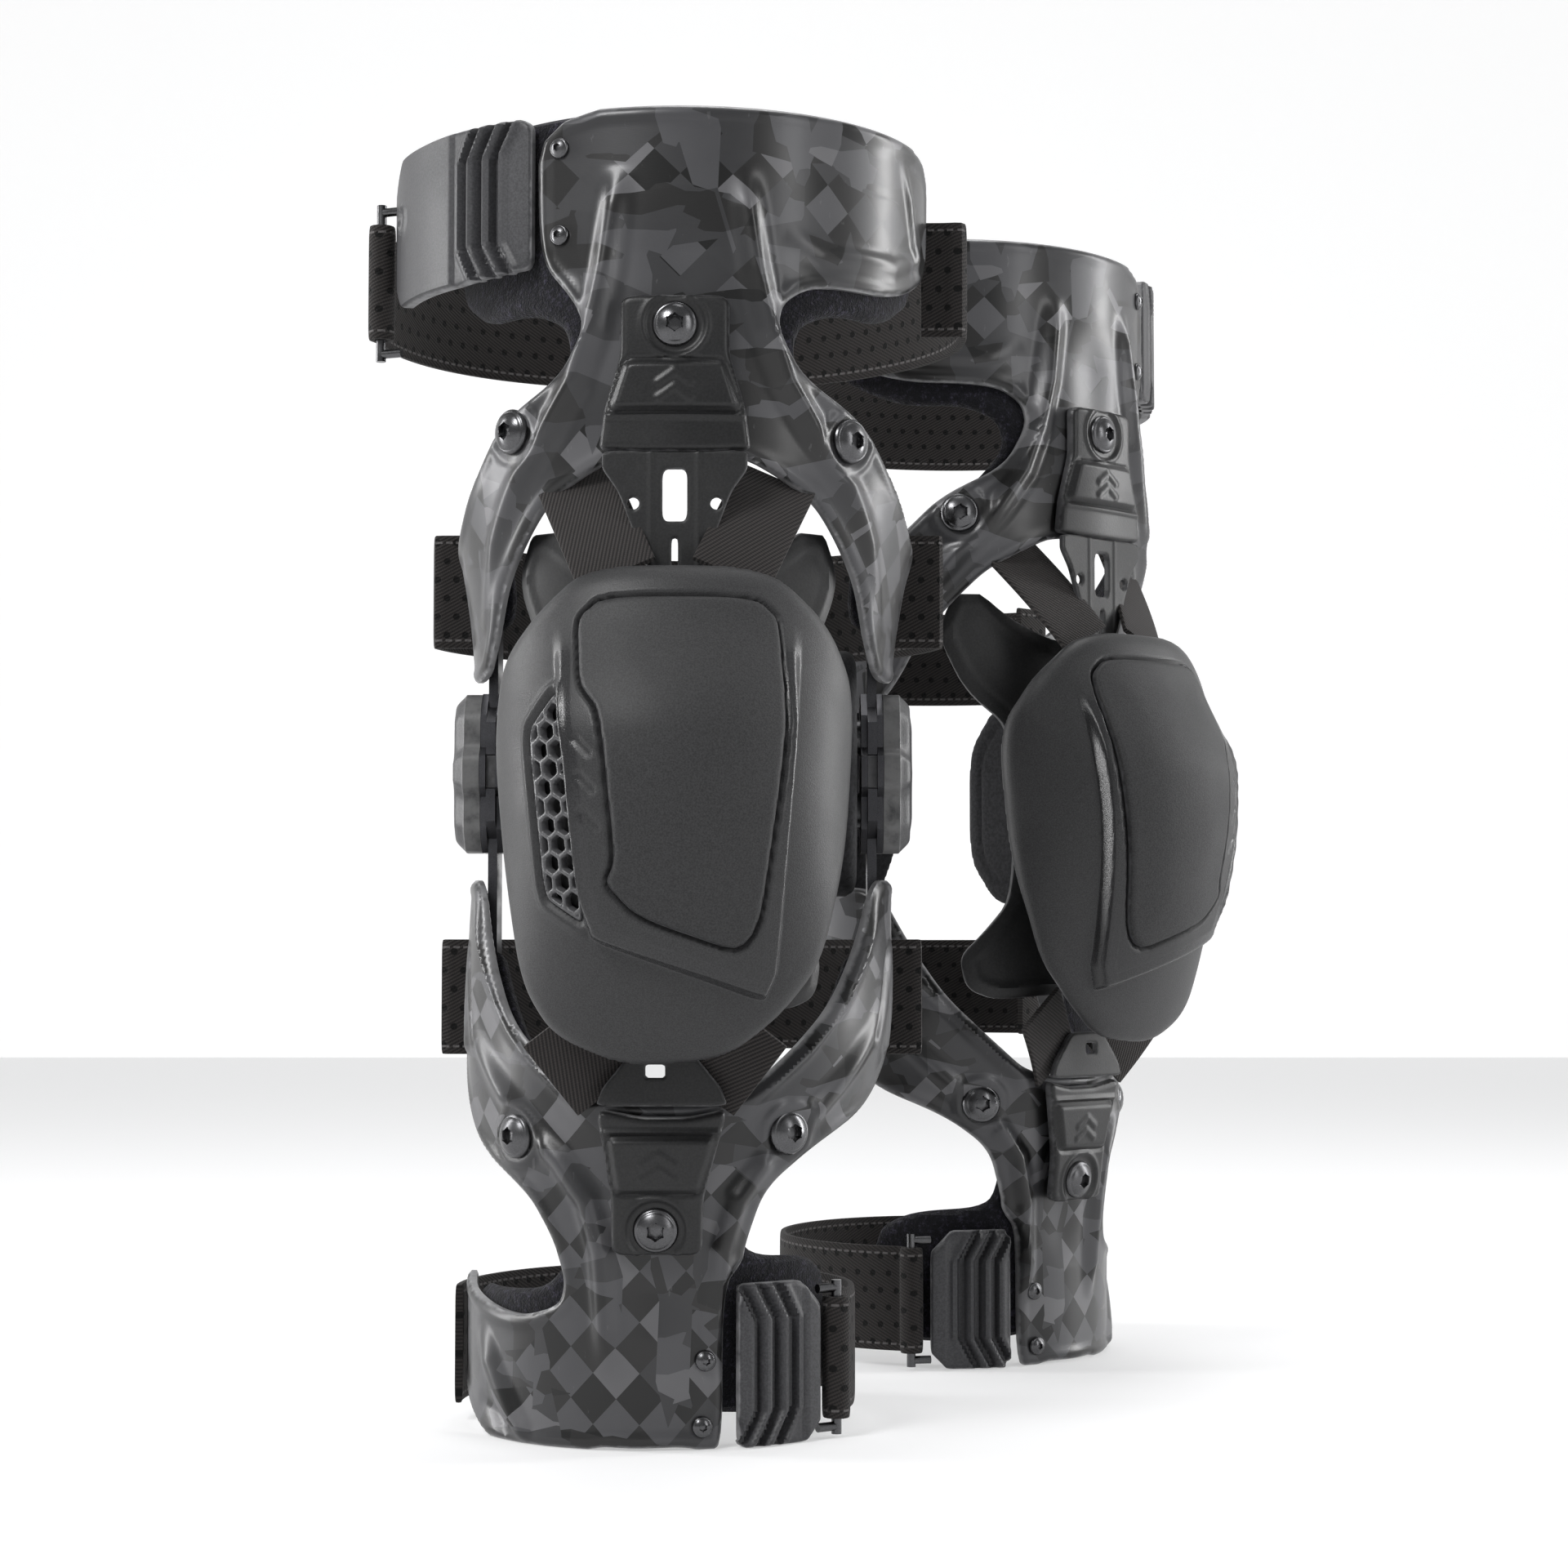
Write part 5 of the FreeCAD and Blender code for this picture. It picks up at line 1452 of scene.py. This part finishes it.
@dataclass
class Brackets:
    """Both moulded brackets, both tongues and all the screws."""

    shop: Workshop
    thigh_back: float = 80.3
    shin_back: float = 60.6
    shin_tilt: float = 8.0
    low: float = 304.0
    top: float = 351.0
    shin_low: float = 60.0
    shin_top: float = 105.0

    @staticmethod
    def upright(back: float, bow: float = 0.0) -> Placer:
        """An upright plane at y = -`back`, bowed by `bow` times the square of x."""
        def place(flat: Array, lift: Array) -> Array:
            """Put grid places on the plane."""
            return np.column_stack([flat[:, 0], -back - lift - bow * flat[:, 0] ** 2,
                                    flat[:, 1]])
        return place

    @staticmethod
    def badge(places: Array, across: float, up: float, size: float) -> Array:
        """A plain mark: two stacked arrowheads."""
        height = np.zeros(len(places))
        for shift in (-0.42, 0.30):
            nodes = [(across - size * 0.75, up + size * (shift - 0.25), 1.0),
                     (across, up + size * (shift + 0.28), 1.0),
                     (across + size * 0.75, up + size * (shift - 0.25), 1.0)]
            height = np.maximum(height, ridge(places, nodes, size * 0.26, 0.5))
        return height

    def plate(self, patch: Patch, panel: Array, badge: tuple[float, float, float],
              screw: tuple[float, float], lip: tuple[float, float]) -> tuple[Array, Array]:
        """Heights of a bracket: a base, a raised panel with a mark, a lip and a screw seat."""
        places = patch.place
        inside = inside_distance(places, panel)
        height = 3.5 + 1.5 * smooth(inside, -0.4, 1.6)
        height -= 0.55 * bell(inside, -0.9, 0.5)
        height += 0.5 * self.badge(places, *badge)
        gap = np.hypot(places[:, 0] - screw[0], places[:, 1] - screw[1])
        height -= 0.7 * (1 - smooth(gap, 8.2, 9.6))
        height += 0.45 * bell(gap, 10.2, 0.8)
        height += 0.8 * (1 - smooth(np.abs(places[:, 1] - lip[0]), 0.0, lip[1]))
        outer = height - 1.5 * (1 - pillow(patch.edge, 2.0))
        return outer, np.full(len(places), 0.2)

    def build_plates(self) -> None:
        """Make the two brackets."""
        low, top = self.low, self.top
        outline = rounded([(-16.5, top), (16.5, top), (16.5, low + 29), (21.5, low + 12),
                           (23, low), (8, low - 0.6), (-8, low - 0.6), (-23, low),
                           (-21.5, low + 12), (-16.5, low + 29)], 0.16)
        panel = rounded([(-14.8, low + 26.6), (14.8, low + 26.6), (19.6, low + 12),
                         (-19.6, low + 12)], 0.1)
        patch = outline_patch(outline, 0.6)
        outer, inner = self.plate(patch, panel, (0.0, low + 19.5, 6.4), (0.0, 342.0),
                                  (low + 10.0, 1.6))

        place = self.upright(self.thigh_back, -0.0035)
        self.shop.add("thigh_bracket", slab(patch, place, outer, inner), "moulded_black",
                      "thigh", MOULDED_SHARP)

        low, top = self.shin_low, self.shin_top
        outline = rounded([(-24, top), (-10, top - 2.4), (4, top - 2.4), (16, top),
                           (8.5, low + 18), (8, low), (-19.5, low), (-19.5, low + 18)], 0.18)
        panel = rounded([(-20.4, top - 8.4), (12, top - 8.4), (6.8, low + 19.8),
                         (-17.9, low + 19.8)], 0.1)
        patch = outline_patch(outline, 0.6)
        outer, inner = self.plate(patch, panel, (-5.0, low + 28.0, 6.2), (-6.0, low + 8.0),
                                  (top - 6.6, 1.4))
        tilt = math.radians(self.shin_tilt)

        def shin_place(flat: Array, lift: Array) -> Array:
            """Put grid places on a plane tilted forwards from the bracket's foot."""
            up = flat[:, 1] - self.shin_low
            return np.column_stack([
                flat[:, 0],
                -self.shin_back - lift * math.cos(tilt) - up * math.sin(tilt),
                self.shin_low - lift * math.sin(tilt) + up * math.cos(tilt)])

        self.shop.add("shin_bracket", slab(patch, shin_place, outer, inner), "moulded_black",
                      "shin", MOULDED_SHARP)

    def build_tongues(self) -> None:
        """Make the two bendable tongues with their slots and eyelets."""
        low, wide = self.low, 3.75
        outline = rounded([(-22, low - 0.4), (22, low - 0.4), (22, low - 6), (17, low - 13),
                           (7, low - 40), (-7, low - 40), (-17, low - 13), (-22, low - 6)], 0.2)
        slot = rounded([(-wide, low - 22), (wide, low - 22), (wide, low - 6), (-wide, low - 6)],
                       0.22)
        turn = np.linspace(0, 2 * np.pi, 28, endpoint=False)
        eyelets = [np.column_stack([x + 1.9 * np.cos(turn), low - 16.5 + 1.9 * np.sin(turn)])
                   for x in (-12.6, 12.6)]
        slit = rounded([(-1.0, low - 27), (1.0, low - 27), (1.0, low - 37), (-1.0, low - 37)], 0.3)
        patch = outline_patch(outline, 0.55, [slot, *eyelets, slit])
        rise = 2.0 - 0.5 * (1 - pillow(patch.edge, 0.8))
        rise = rise + 0.35 * bell(np.abs(patch.place[:, 0]), 7.2, 0.7)

        tongue = slab(patch, self.upright(self.thigh_back), rise, np.zeros(len(rise)))
        self.shop.add("upper_tongue", tongue, "carrier_plastic", "thigh", MOULDED_SHARP)
        top = self.shin_top
        outline = rounded([(-24, top + 0.4), (16, top + 0.4), (14, top + 6), (5, top + 17),
                           (-13, top + 17), (-22, top + 6)], 0.2)
        slot = rounded([(-9, top + 9), (-3, top + 9), (-3, top + 13), (-9, top + 13)], 0.2)
        patch = outline_patch(outline, 0.55, [slot])
        rise = 2.0 - 0.5 * (1 - pillow(patch.edge, 0.8))
        tongue = slab(patch, self.upright(self.shin_back + 8.6), rise, np.zeros(len(rise)))
        self.shop.add("lower_tongue", tongue, "carrier_plastic", "shin", MOULDED_SHARP)

    def build_screws(self) -> None:
        """Make the large and small cap screws of both frames."""
        big, small = (7.0, 3.5), (3.2, 1.6)
        front = np.array([0.0, -1.0, 0.0])
        thigh = [screw_head(np.array([0.0, -self.thigh_back - 2.9, 342.0]), front, *big)]
        for degrees, height, form in ((-42.5, 313, big), (42, 310, big), (-28.5, 399, small),
                                      (-28.5, 372, small)):
            thigh.append(screw_head(*THIGH_TUBE.spot(degrees, height, 0.7), *form))
        tilt = math.radians(self.shin_tilt)
        down = np.array([0.0, -math.cos(tilt), -math.sin(tilt)])
        up = np.array([0.0, -math.sin(tilt), math.cos(tilt)])
        foot = np.array([-6.0, -self.shin_back, self.shin_low]) + up * 8 + down * 2.9
        shin = [screw_head(foot, down, *big)]
        for degrees, height, form in ((-45, 95, big), (36, 96.5, big), (13, 27, small),
                                      (12, 7, small)):
            shin.append(screw_head(*SHIN_TUBE.spot(degrees, height, 1.2), *form))
        self.shop.add("thigh_screws", Surface.joined(thigh), "black_chrome", "thigh", FINE_SHARP)
        self.shop.add("shin_screws", Surface.joined(shin), "black_chrome", "shin", FINE_SHARP)

    def build(self) -> None:
        """Make every piece."""
        self.build_plates()
        self.build_tongues()
        self.build_screws()


@dataclass
class Hinges:
    """Covers and condyle pads of both hinges; plates, pins, arms and stops stay as made."""

    shop: Workshop
    cover_at: float = 65.3
    cover_depth: float = 9.6
    pad_at: float = 46.0
    pad_depth: float = 10.6

    @staticmethod
    def side_place(flat: Array, lift: Array) -> Array:
        """Grid places are (y, z), and the height is measured outwards along X."""
        return np.column_stack([lift, flat[:, 0], flat[:, 1]])

    def build(self) -> None:
        """Make the covers and the pads."""
        up, down, wide, slim = 222.0, 198.0, 13.95, 6.5
        outline = rounded([(-slim, up + wide), (slim, up + wide), (wide, up + slim),
                           (wide, down - slim), (slim, down - wide), (-slim, down - wide),
                           (-wide, down - slim), (-wide, 202), (-18.5, 205), (-18.5, 215),
                           (-wide, 218), (-wide, up + slim)], 0.3)
        patch = outline_patch(outline, 0.7)
        places = patch.place
        chamfer = 4.2 * (1 - smooth(patch.edge, -1.5, 4.5))
        ring = 0.6 * bell(patch.edge, 6.2, 0.5)
        crown = 0.8 * smooth(patch.edge, 5.0, 12.0)
        outer = self.cover_at + self.cover_depth - 0.8 - chamfer - ring + crown
        cover = slab(patch, self.side_place, outer, np.full(len(outer), self.cover_at))
        self.shop.add("hinge_covers", Surface.joined([cover, cover.mirrored()]), "cover_plastic",
                      "link", MOULDED_SHARP)
        knee = KNEE_HEIGHT
        outline = rounded([(-14, knee + 40), (12, knee + 40), (26, knee + 22), (26, knee - 22),
                           (12, knee - 40), (-14, knee - 40), (-24, knee - 20),
                           (-24, knee + 20)], 0.3)
        patch = outline_patch(outline, 1.2)
        full = pillow(patch.edge, 6.0)
        seam = 0.8 * bell(patch.edge, 8.0, 1.0)
        half = self.pad_depth / 2
        middle = self.pad_at + half
        outer = middle + half * (0.35 + 0.65 * full)
        inner = middle - half * (0.35 + 0.65 * full) + seam
        pad = slab(patch, self.side_place, outer, inner)
        self.shop.add("condyle_pads", Surface.joined([pad, pad.mirrored()]),
                                "pad_foam", "link")


@dataclass
class KneeCup:
    """The floating cup: shell with a V ridge, inset pad, vent, carrier and elastics."""

    shop: Workshop
    rim_back: float = 68.0
    wall: float = 3.5
    reference: float = 55.0
    plateau: float = 6.0
    pad_gap: float = 0.9
    stations: tuple[tuple[float, float, float], ...] = (
        (110, 47.5, 22), (135, 52.5, 35), (170, 54.5, 48), (205, 55.5, 54), (240, 55.5, 47),
        (275, 50.5, 31))
    edge_line: tuple[tuple[float, float], ...] = (
        (-26, 268), (29, 268), (48, 251), (55.6, 232), (53, 180), (46, 148), (33, 132),
        (16, 119), (-14, 116.5), (-37, 126), (-47, 142), (-52, 175), (-55.4, 215),
        (-53, 240), (-42, 254))
    vent_line: tuple[tuple[float, float], ...] = ((-42, 217), (-33, 229), (-25, 160), (-37, 168))
    pad_line: tuple[tuple[float, float], ...] = (
        (-29, 250), (-21, 257.5), (25, 257.5), (33, 250), (31.5, 214), (23.5, 151), (-9, 163),
        (-18, 173), (-15, 180), (-19, 220), (-26, 229))
    ridge_line: tuple[tuple[float, float], ...] = (
        (-36, 264), (-34.5, 238), (-30, 205), (-27, 172), (-23, 155.5), (27, 137.5),
        (31, 147), (38, 238), (39, 264))
    bevel: float = 3.6

    def row(self, up: Array) -> Array:
        """Half width and depth of the dome at each height."""
        table = np.asarray(self.stations)
        return spline_table(table[:, 0], table[:, 1:], up)

    def unroll(self, front: Array) -> Array:
        """Turn places seen from the front (x, z) into (turn times reference, z)."""
        wide = self.row(front[:, 1])[:, 0]
        turn = np.arcsin(np.clip(front[:, 0] / wide, -0.999, 0.999))
        return np.column_stack([turn * self.reference, front[:, 1]])

    def place(self, flat: Array, lift: Array | float) -> Array:
        """Put grid places on the dome: a half oval at each height, moved along its normal."""
        wide, deep = self.row(flat[:, 1]).T
        turn = flat[:, 0] / self.reference
        lift = np.broadcast_to(lift, turn.shape)
        tiny = 0.5
        above = self.row(flat[:, 1] + tiny)[:, 1]
        below = self.row(flat[:, 1] - tiny)[:, 1]
        slope = (above - below) / (2 * tiny) * np.cos(turn)
        out = np.column_stack([deep * np.sin(turn), -wide * np.cos(turn)])
        out /= np.linalg.norm(out, axis=1)[:, None]
        steep = np.sqrt(1 + slope ** 2)
        x = wide * np.sin(turn) + out[:, 0] * lift / steep
        y = -self.rim_back - deep * np.cos(turn) + out[:, 1] * lift / steep
        return np.column_stack([x, y, flat[:, 1] - slope * lift / steep])

    def ridge_height(self, flat: Array) -> Array:
        """The raised V: steep along its foot, fading out towards the top."""
        inside = inside_distance(flat, self.unroll(rounded(self.ridge_line, 0.12)))
        fade = 1 - smooth(flat[:, 1], 214, 250)
        share = np.clip((inside + 0.2) / self.bevel, 0.0, 1.0)
        return self.plateau * (0.7 * share + 0.3 * share * share * (3 - 2 * share)) * fade

    def polish(self, flat: Array) -> Array:
        """How far the face is polished: fully on the V's bevel and just inside it."""
        inside = inside_distance(flat, self.unroll(rounded(self.ridge_line, 0.12)))
        near = smooth(inside, -0.8, 0.2) * (1 - smooth(inside, 6.0, 8.0))
        return near * (1 - smooth(flat[:, 1], 236, 246))

    def build_shell(self) -> None:
        """Make the cup's wall with its pocket and vent window."""
        outline = self.unroll(rounded(self.edge_line))
        window = self.unroll(rounded(self.vent_line, 0.15))
        patch = outline_patch(outline, 0.72, [window])
        rim = inside_distance(patch.place, outline)
        opening = -inside_distance(patch.place, window)
        pocket = inside_distance(patch.place, self.unroll(rounded(self.pad_line, 0.3)))
        curl = 3.6 * (1 - pillow(rim, 7.0))
        groove = 2.4 * smooth(pocket, -0.4, 0.4)
        frame = 1.2 * bell(opening, 2.4, 1.3) - 0.8 * (1 - pillow(opening, 1.4))
        mark = np.zeros(len(rim))
        for k in range(3):
            nodes = [(-25.2 + 0.9 * k, 213 - 10 * k, 1.0), (-21.4 + 0.9 * k, 209 - 10 * k, 1.0)]
            mark = np.maximum(mark, ridge(patch.place, nodes, 1.7, 0.5))
        outer = self.ridge_height(patch.place) - curl - groove + frame - 0.7 * mark
        inner = np.minimum(-self.wall - 0.35 * curl, outer - 1.6)
        shell = slab(patch, self.place, outer, inner)
        shell.polish = np.tile(self.polish(patch.place), 2)
        self.shop.add("cup_shell", shell, "cup_plastic", "cup", 80.0)

    def build_pad(self) -> None:
        """Make the inset pad, slightly crowned and standing just proud."""
        outline = self.unroll(rounded(self.pad_line, 0.3))
        patch = trimmed(lambda flat: inside_distance(flat, outline) - self.pad_gap,
                        tuple(outline.min(0)), tuple(outline.max(0)), 0.9)
        base = self.ridge_height(patch.place)
        outer = base + 0.8 - 1.5 * (1 - pillow(patch.edge, 2.0)) + 0.5 * smooth(patch.edge, 2, 16)
        self.shop.add("cup_insert", slab(patch, self.place, outer, base - 2.3), "insert_pad",
                      "cup", 44.0)

    def build_vent(self) -> None:
        """Make the honeycomb: material lies within half a wall of each cell's border."""
        frame = self.unroll(rounded(self.vent_line, 0.15))
        cell, wall, margin = 3.2, 0.75, 1.2
        lean = -0.11

        def inside(flat: Array) -> Array:
            """Signed distance to the honeycomb and its rim, positive in the material."""
            rim = inside_distance(flat, frame)
            x = flat[:, 0] + 34.0 - lean * (flat[:, 1] - 200.0)
            y = flat[:, 1] - 200.0
            long, short = 2 * cell, 2 * cell / math.sqrt(3) * 1.5
            best = np.full(len(flat), 1e9)
            for shift in (0.0, 0.5):
                dx = x - (np.floor(x / long - shift + 0.5) + shift) * long
                dy = y - (np.floor(y / (2 * short) - shift + 0.5) + shift) * 2 * short
                hexagon = np.maximum(np.abs(dx), np.abs(dx) * 0.5 + np.abs(dy) * math.sqrt(3) / 2)
                best = np.minimum(best, hexagon)
            lattice = wall - (cell - best)
            return np.minimum(rim, np.maximum(lattice, margin - rim))

        patch = trimmed(inside, tuple(frame.min(0)), tuple(frame.max(0)), 0.42)
        bevel = 0.5 * (1 - pillow(patch.edge, 0.6))
        grille = slab(patch, self.place, 0.3 - bevel, np.full(len(bevel), -2.6))
        self.shop.add("cup_vent", grille, "vent_plastic", "cup", FINE_SHARP)
        patch = outline_patch(frame, 1.0)
        behind = np.full(len(patch.place), -self.wall - 0.4)
        lining = slab(patch, self.place, behind, behind - 1.0)
        self.shop.add("vent_lining", lining, "carrier_plastic", "cup", replaces=["cup_vent"])

    def build_carrier(self) -> None:
        """Make the thin plate behind the cup, with four wings."""
        radius, thick = 68.5, 2.5
        half = [(12, 266), (30, 274), (44, 288), (51, 268), (43, 246), (27, 232), (27, 172),
                (38, 158), (45, 150), (43, 138), (34, 134), (12, 136)]
        line = rounded(both_sides(half))
        line[:, 1] = np.clip(line[:, 1], 116, 282)
        outline = np.column_stack([np.arcsin(line[:, 0] / radius) * radius, line[:, 1]])
        patch = outline_patch(outline, 1.3)

        def place(flat: Array, lift: Array) -> Array:
            """Put grid places on an upright cylinder round the leg's axis."""
            turn = flat[:, 0] / radius
            reach = radius + lift
            return np.column_stack([reach * np.sin(turn), -reach * np.cos(turn), flat[:, 1]])

        rib = 0.8 * bell(patch.edge, 4.0, 1.2)
        outer = rib - 0.6 * (1 - pillow(patch.edge, 1.2))
        self.shop.add("cup_carrier", slab(patch, place, outer, np.full(len(outer), -thick)),
                      "carrier_plastic", "cup", MOULDED_SHARP)

    def elastic(self, name: str, start: tuple[float, float, float],
                end: tuple[float, float, float], bow: float, bodies: tuple[str, str]) -> None:
        """One flat elastic, bowed out in the middle, left unattached between two bodies."""
        a, b = np.asarray(start), np.asarray(end)
        t = np.linspace(0, 1, 26)[:, None]
        line = a + (b - a) * t + np.array([0, -bow, 0]) * np.sin(np.pi * t)
        run = (b - a) / np.linalg.norm(b - a)
        across = np.cross(run, [0.0, 1.0, 0.0])
        across /= np.linalg.norm(across)
        surface = ribbon(line, np.repeat(across[None], len(t), 0), 25.0, 2.0)
        piece = self.shop.add(name, surface, "elastic_twill", "", replaces=["cup_elastics"])
        site = self.shop.site
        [self.shop.body(n) for n in bodies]
        site.point(*start)
        site.point(*end)
        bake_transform(piece)

    def build(self) -> None:
        """Make every piece of the cup."""
        self.build_shell()
        self.build_pad()
        self.build_vent()
        self.build_carrier()
        for hand, word in ((-1, "a"), (1, "b")):
            self.elastic(f"elastic_upper_{word}", (hand * 31, -65.0, 297),
                         (hand * 17, -88, 265), 1.0, ("thigh", "link"))
            self.elastic(f"elastic_lower_{word}", (-6 + hand * 30, -72, 131),
                         (-6 + hand * 14, -65.0, 110), 0.6, ("link", "shin"))


@dataclass
class Brace:
    """One whole brace: its sub-assemblies, and finishes for the CAD nodes that stay."""

    shop: Workshop
    nodes: dict[str, bpy.types.Object]
    kept: tuple[tuple[str, str], ...] = (
        ("thigh_hinge_arms", "dark_steel"), ("shin_hinge_arms", "dark_steel"),
        ("hinge_plates", "dark_steel"), ("hinge_pins", "black_chrome"),
        ("extension_stops", "moulded_black"), ("thigh_wing_hook", "black_chrome"),
        ("shin_wing_hook", "black_chrome"))

    def build(self) -> None:
        """Build the sub-assemblies in order and dress the kept nodes."""
        for made in (ThighFrame, ShinFrame, Wings, Brackets, Hinges, KneeCup):
            made(self.shop).build()
        for name, slot in self.kept:
            node = self.nodes[self.shop.body(name)]
            node.data.materials.clear()
            node.data.materials.append(self.shop.materials[slot])


# ------------------------------------------------------------------ studio


@dataclass
class Studio:
    """Pale floor and backdrop, soft lights and the camera."""

    eye: tuple[float, float, float] = (-0.012, -1.054, 0.155)
    pitch: float = 3.03
    lens: float = 68.68
    floor_half: float = 20.0
    wall_at: float = 3.0
    wall_tall: float = 5.0
    middle: tuple[float, float, float] = (0.0, 0.0, 0.22)
    lights: tuple[tuple[str, tuple[float, float, float], tuple[float, float], float], ...] = (
        ("key", (-0.9, -1.3, 1.5), (0.6, 0.6), 26.0),
        ("fill", (1.3, -1.2, 0.7), (0.3, 1.3), 7.0),
        ("left_strip", (-1.2, 0.1, 0.35), (0.22, 1.4), 15.0),
        ("right_strip", (1.25, 0.3, 0.4), (0.22, 1.4), 15.0),
        ("top", (0.1, 0.2, 1.8), (0.8, 0.8), 12.0))

    @staticmethod
    def sheet(name: str, corners: list[tuple[float, float, float]],
              **values: object) -> bpy.types.Object:
        """A flat sheet that glows white as much as its shader's values say."""
        mesh = bpy.data.meshes.new(name)
        mesh.from_pydata(corners, [], [(0, 1, 2, 3)])
        paint = Paint(f"{name}_paint")
        paint.set(Emission_Color=WHITE, **values)
        mesh.materials.append(paint.material)
        piece = bpy.data.objects.new(name, mesh)
        bpy.context.scene.collection.objects.link(piece)
        return piece

    def light(self, name: str, place: tuple[float, float, float],
              target: tuple[float, float, float], size: tuple[float, float], power: float) -> None:
        """A soft rectangular light aimed at a place."""
        lamp = bpy.data.lights.new(name, "AREA")
        lamp.shape = "RECTANGLE"
        lamp.size, lamp.size_y = size
        lamp.energy = power
        holder = bpy.data.objects.new(name, lamp)
        holder.location = place
        aim = Vector(target) - Vector(place)
        holder.rotation_euler = aim.to_track_quat("-Z", "Y").to_euler()
        bpy.context.scene.collection.objects.link(holder)

    def build_camera(self) -> None:
        """Make the camera at the wanted angle."""
        camera = bpy.data.cameras.new("camera")
        camera.sensor_width = 36.0
        camera.lens = self.lens
        camera.clip_start = 0.05
        holder = bpy.data.objects.new("camera", camera)
        holder.location = self.eye
        holder.rotation_euler = (math.radians(90 + self.pitch), 0.0, 0.0)
        bpy.context.scene.collection.objects.link(holder)
        bpy.context.scene.camera = holder

    def build(self) -> None:
        """Make the world, the floor, the backdrop and the lights."""
        world = bpy.data.worlds.new("studio")
        world.use_nodes = True
        backdrop = world.node_tree.nodes["Background"]
        backdrop.inputs[0].default_value = (0.93, 0.94, 0.95, 1.0)
        backdrop.inputs[1].default_value = 0.4
        bpy.context.scene.world = world
        h, far, tall = self.floor_half, self.wall_at, self.wall_tall
        floor = self.sheet("floor", [(-h, -h, 0), (h, -h, 0), (h, h, 0), (-h, h, 0)],
                           Base_Color=(0.48, 0.48, 0.485), Roughness=0.75,
                           Emission_Strength=0.38)
        floor.location = (0.0, 0.0, -0.0002)
        wall = self.sheet("backdrop", [(-h, far, -0.1), (h, far, -0.1), (h, far, tall),
                                       (-h, far, tall)],
                          Base_Color=(0.5, 0.5, 0.5), Emission_Strength=0.62)
        for name, place, size, power in self.lights:
            self.light(name, place, self.middle, size, power)
        bpy.context.scene.view_settings.view_transform = "Standard"


def main() -> None:
    """Build the studio and both braces."""
    logging.basicConfig(level=logging.INFO, format="%(name)s: %(message)s")
    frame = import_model()
    studio = Studio()
    studio.build_camera()
    effects = Effects()
    materials = {name: finish.make(effects) for name, finish in FINISHES.items()}
    for side in Side:
        site = Site.of(side, frame["joints"])
        LOG.info("%s brace at %s, turned %.1f degrees", side.value, site.origin,
                 math.degrees(site.yaw))
        Brace(Workshop(site, materials), frame["nodes"]).build()
    studio.build()
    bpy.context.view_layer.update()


if __name__ == "__main__":
    main()
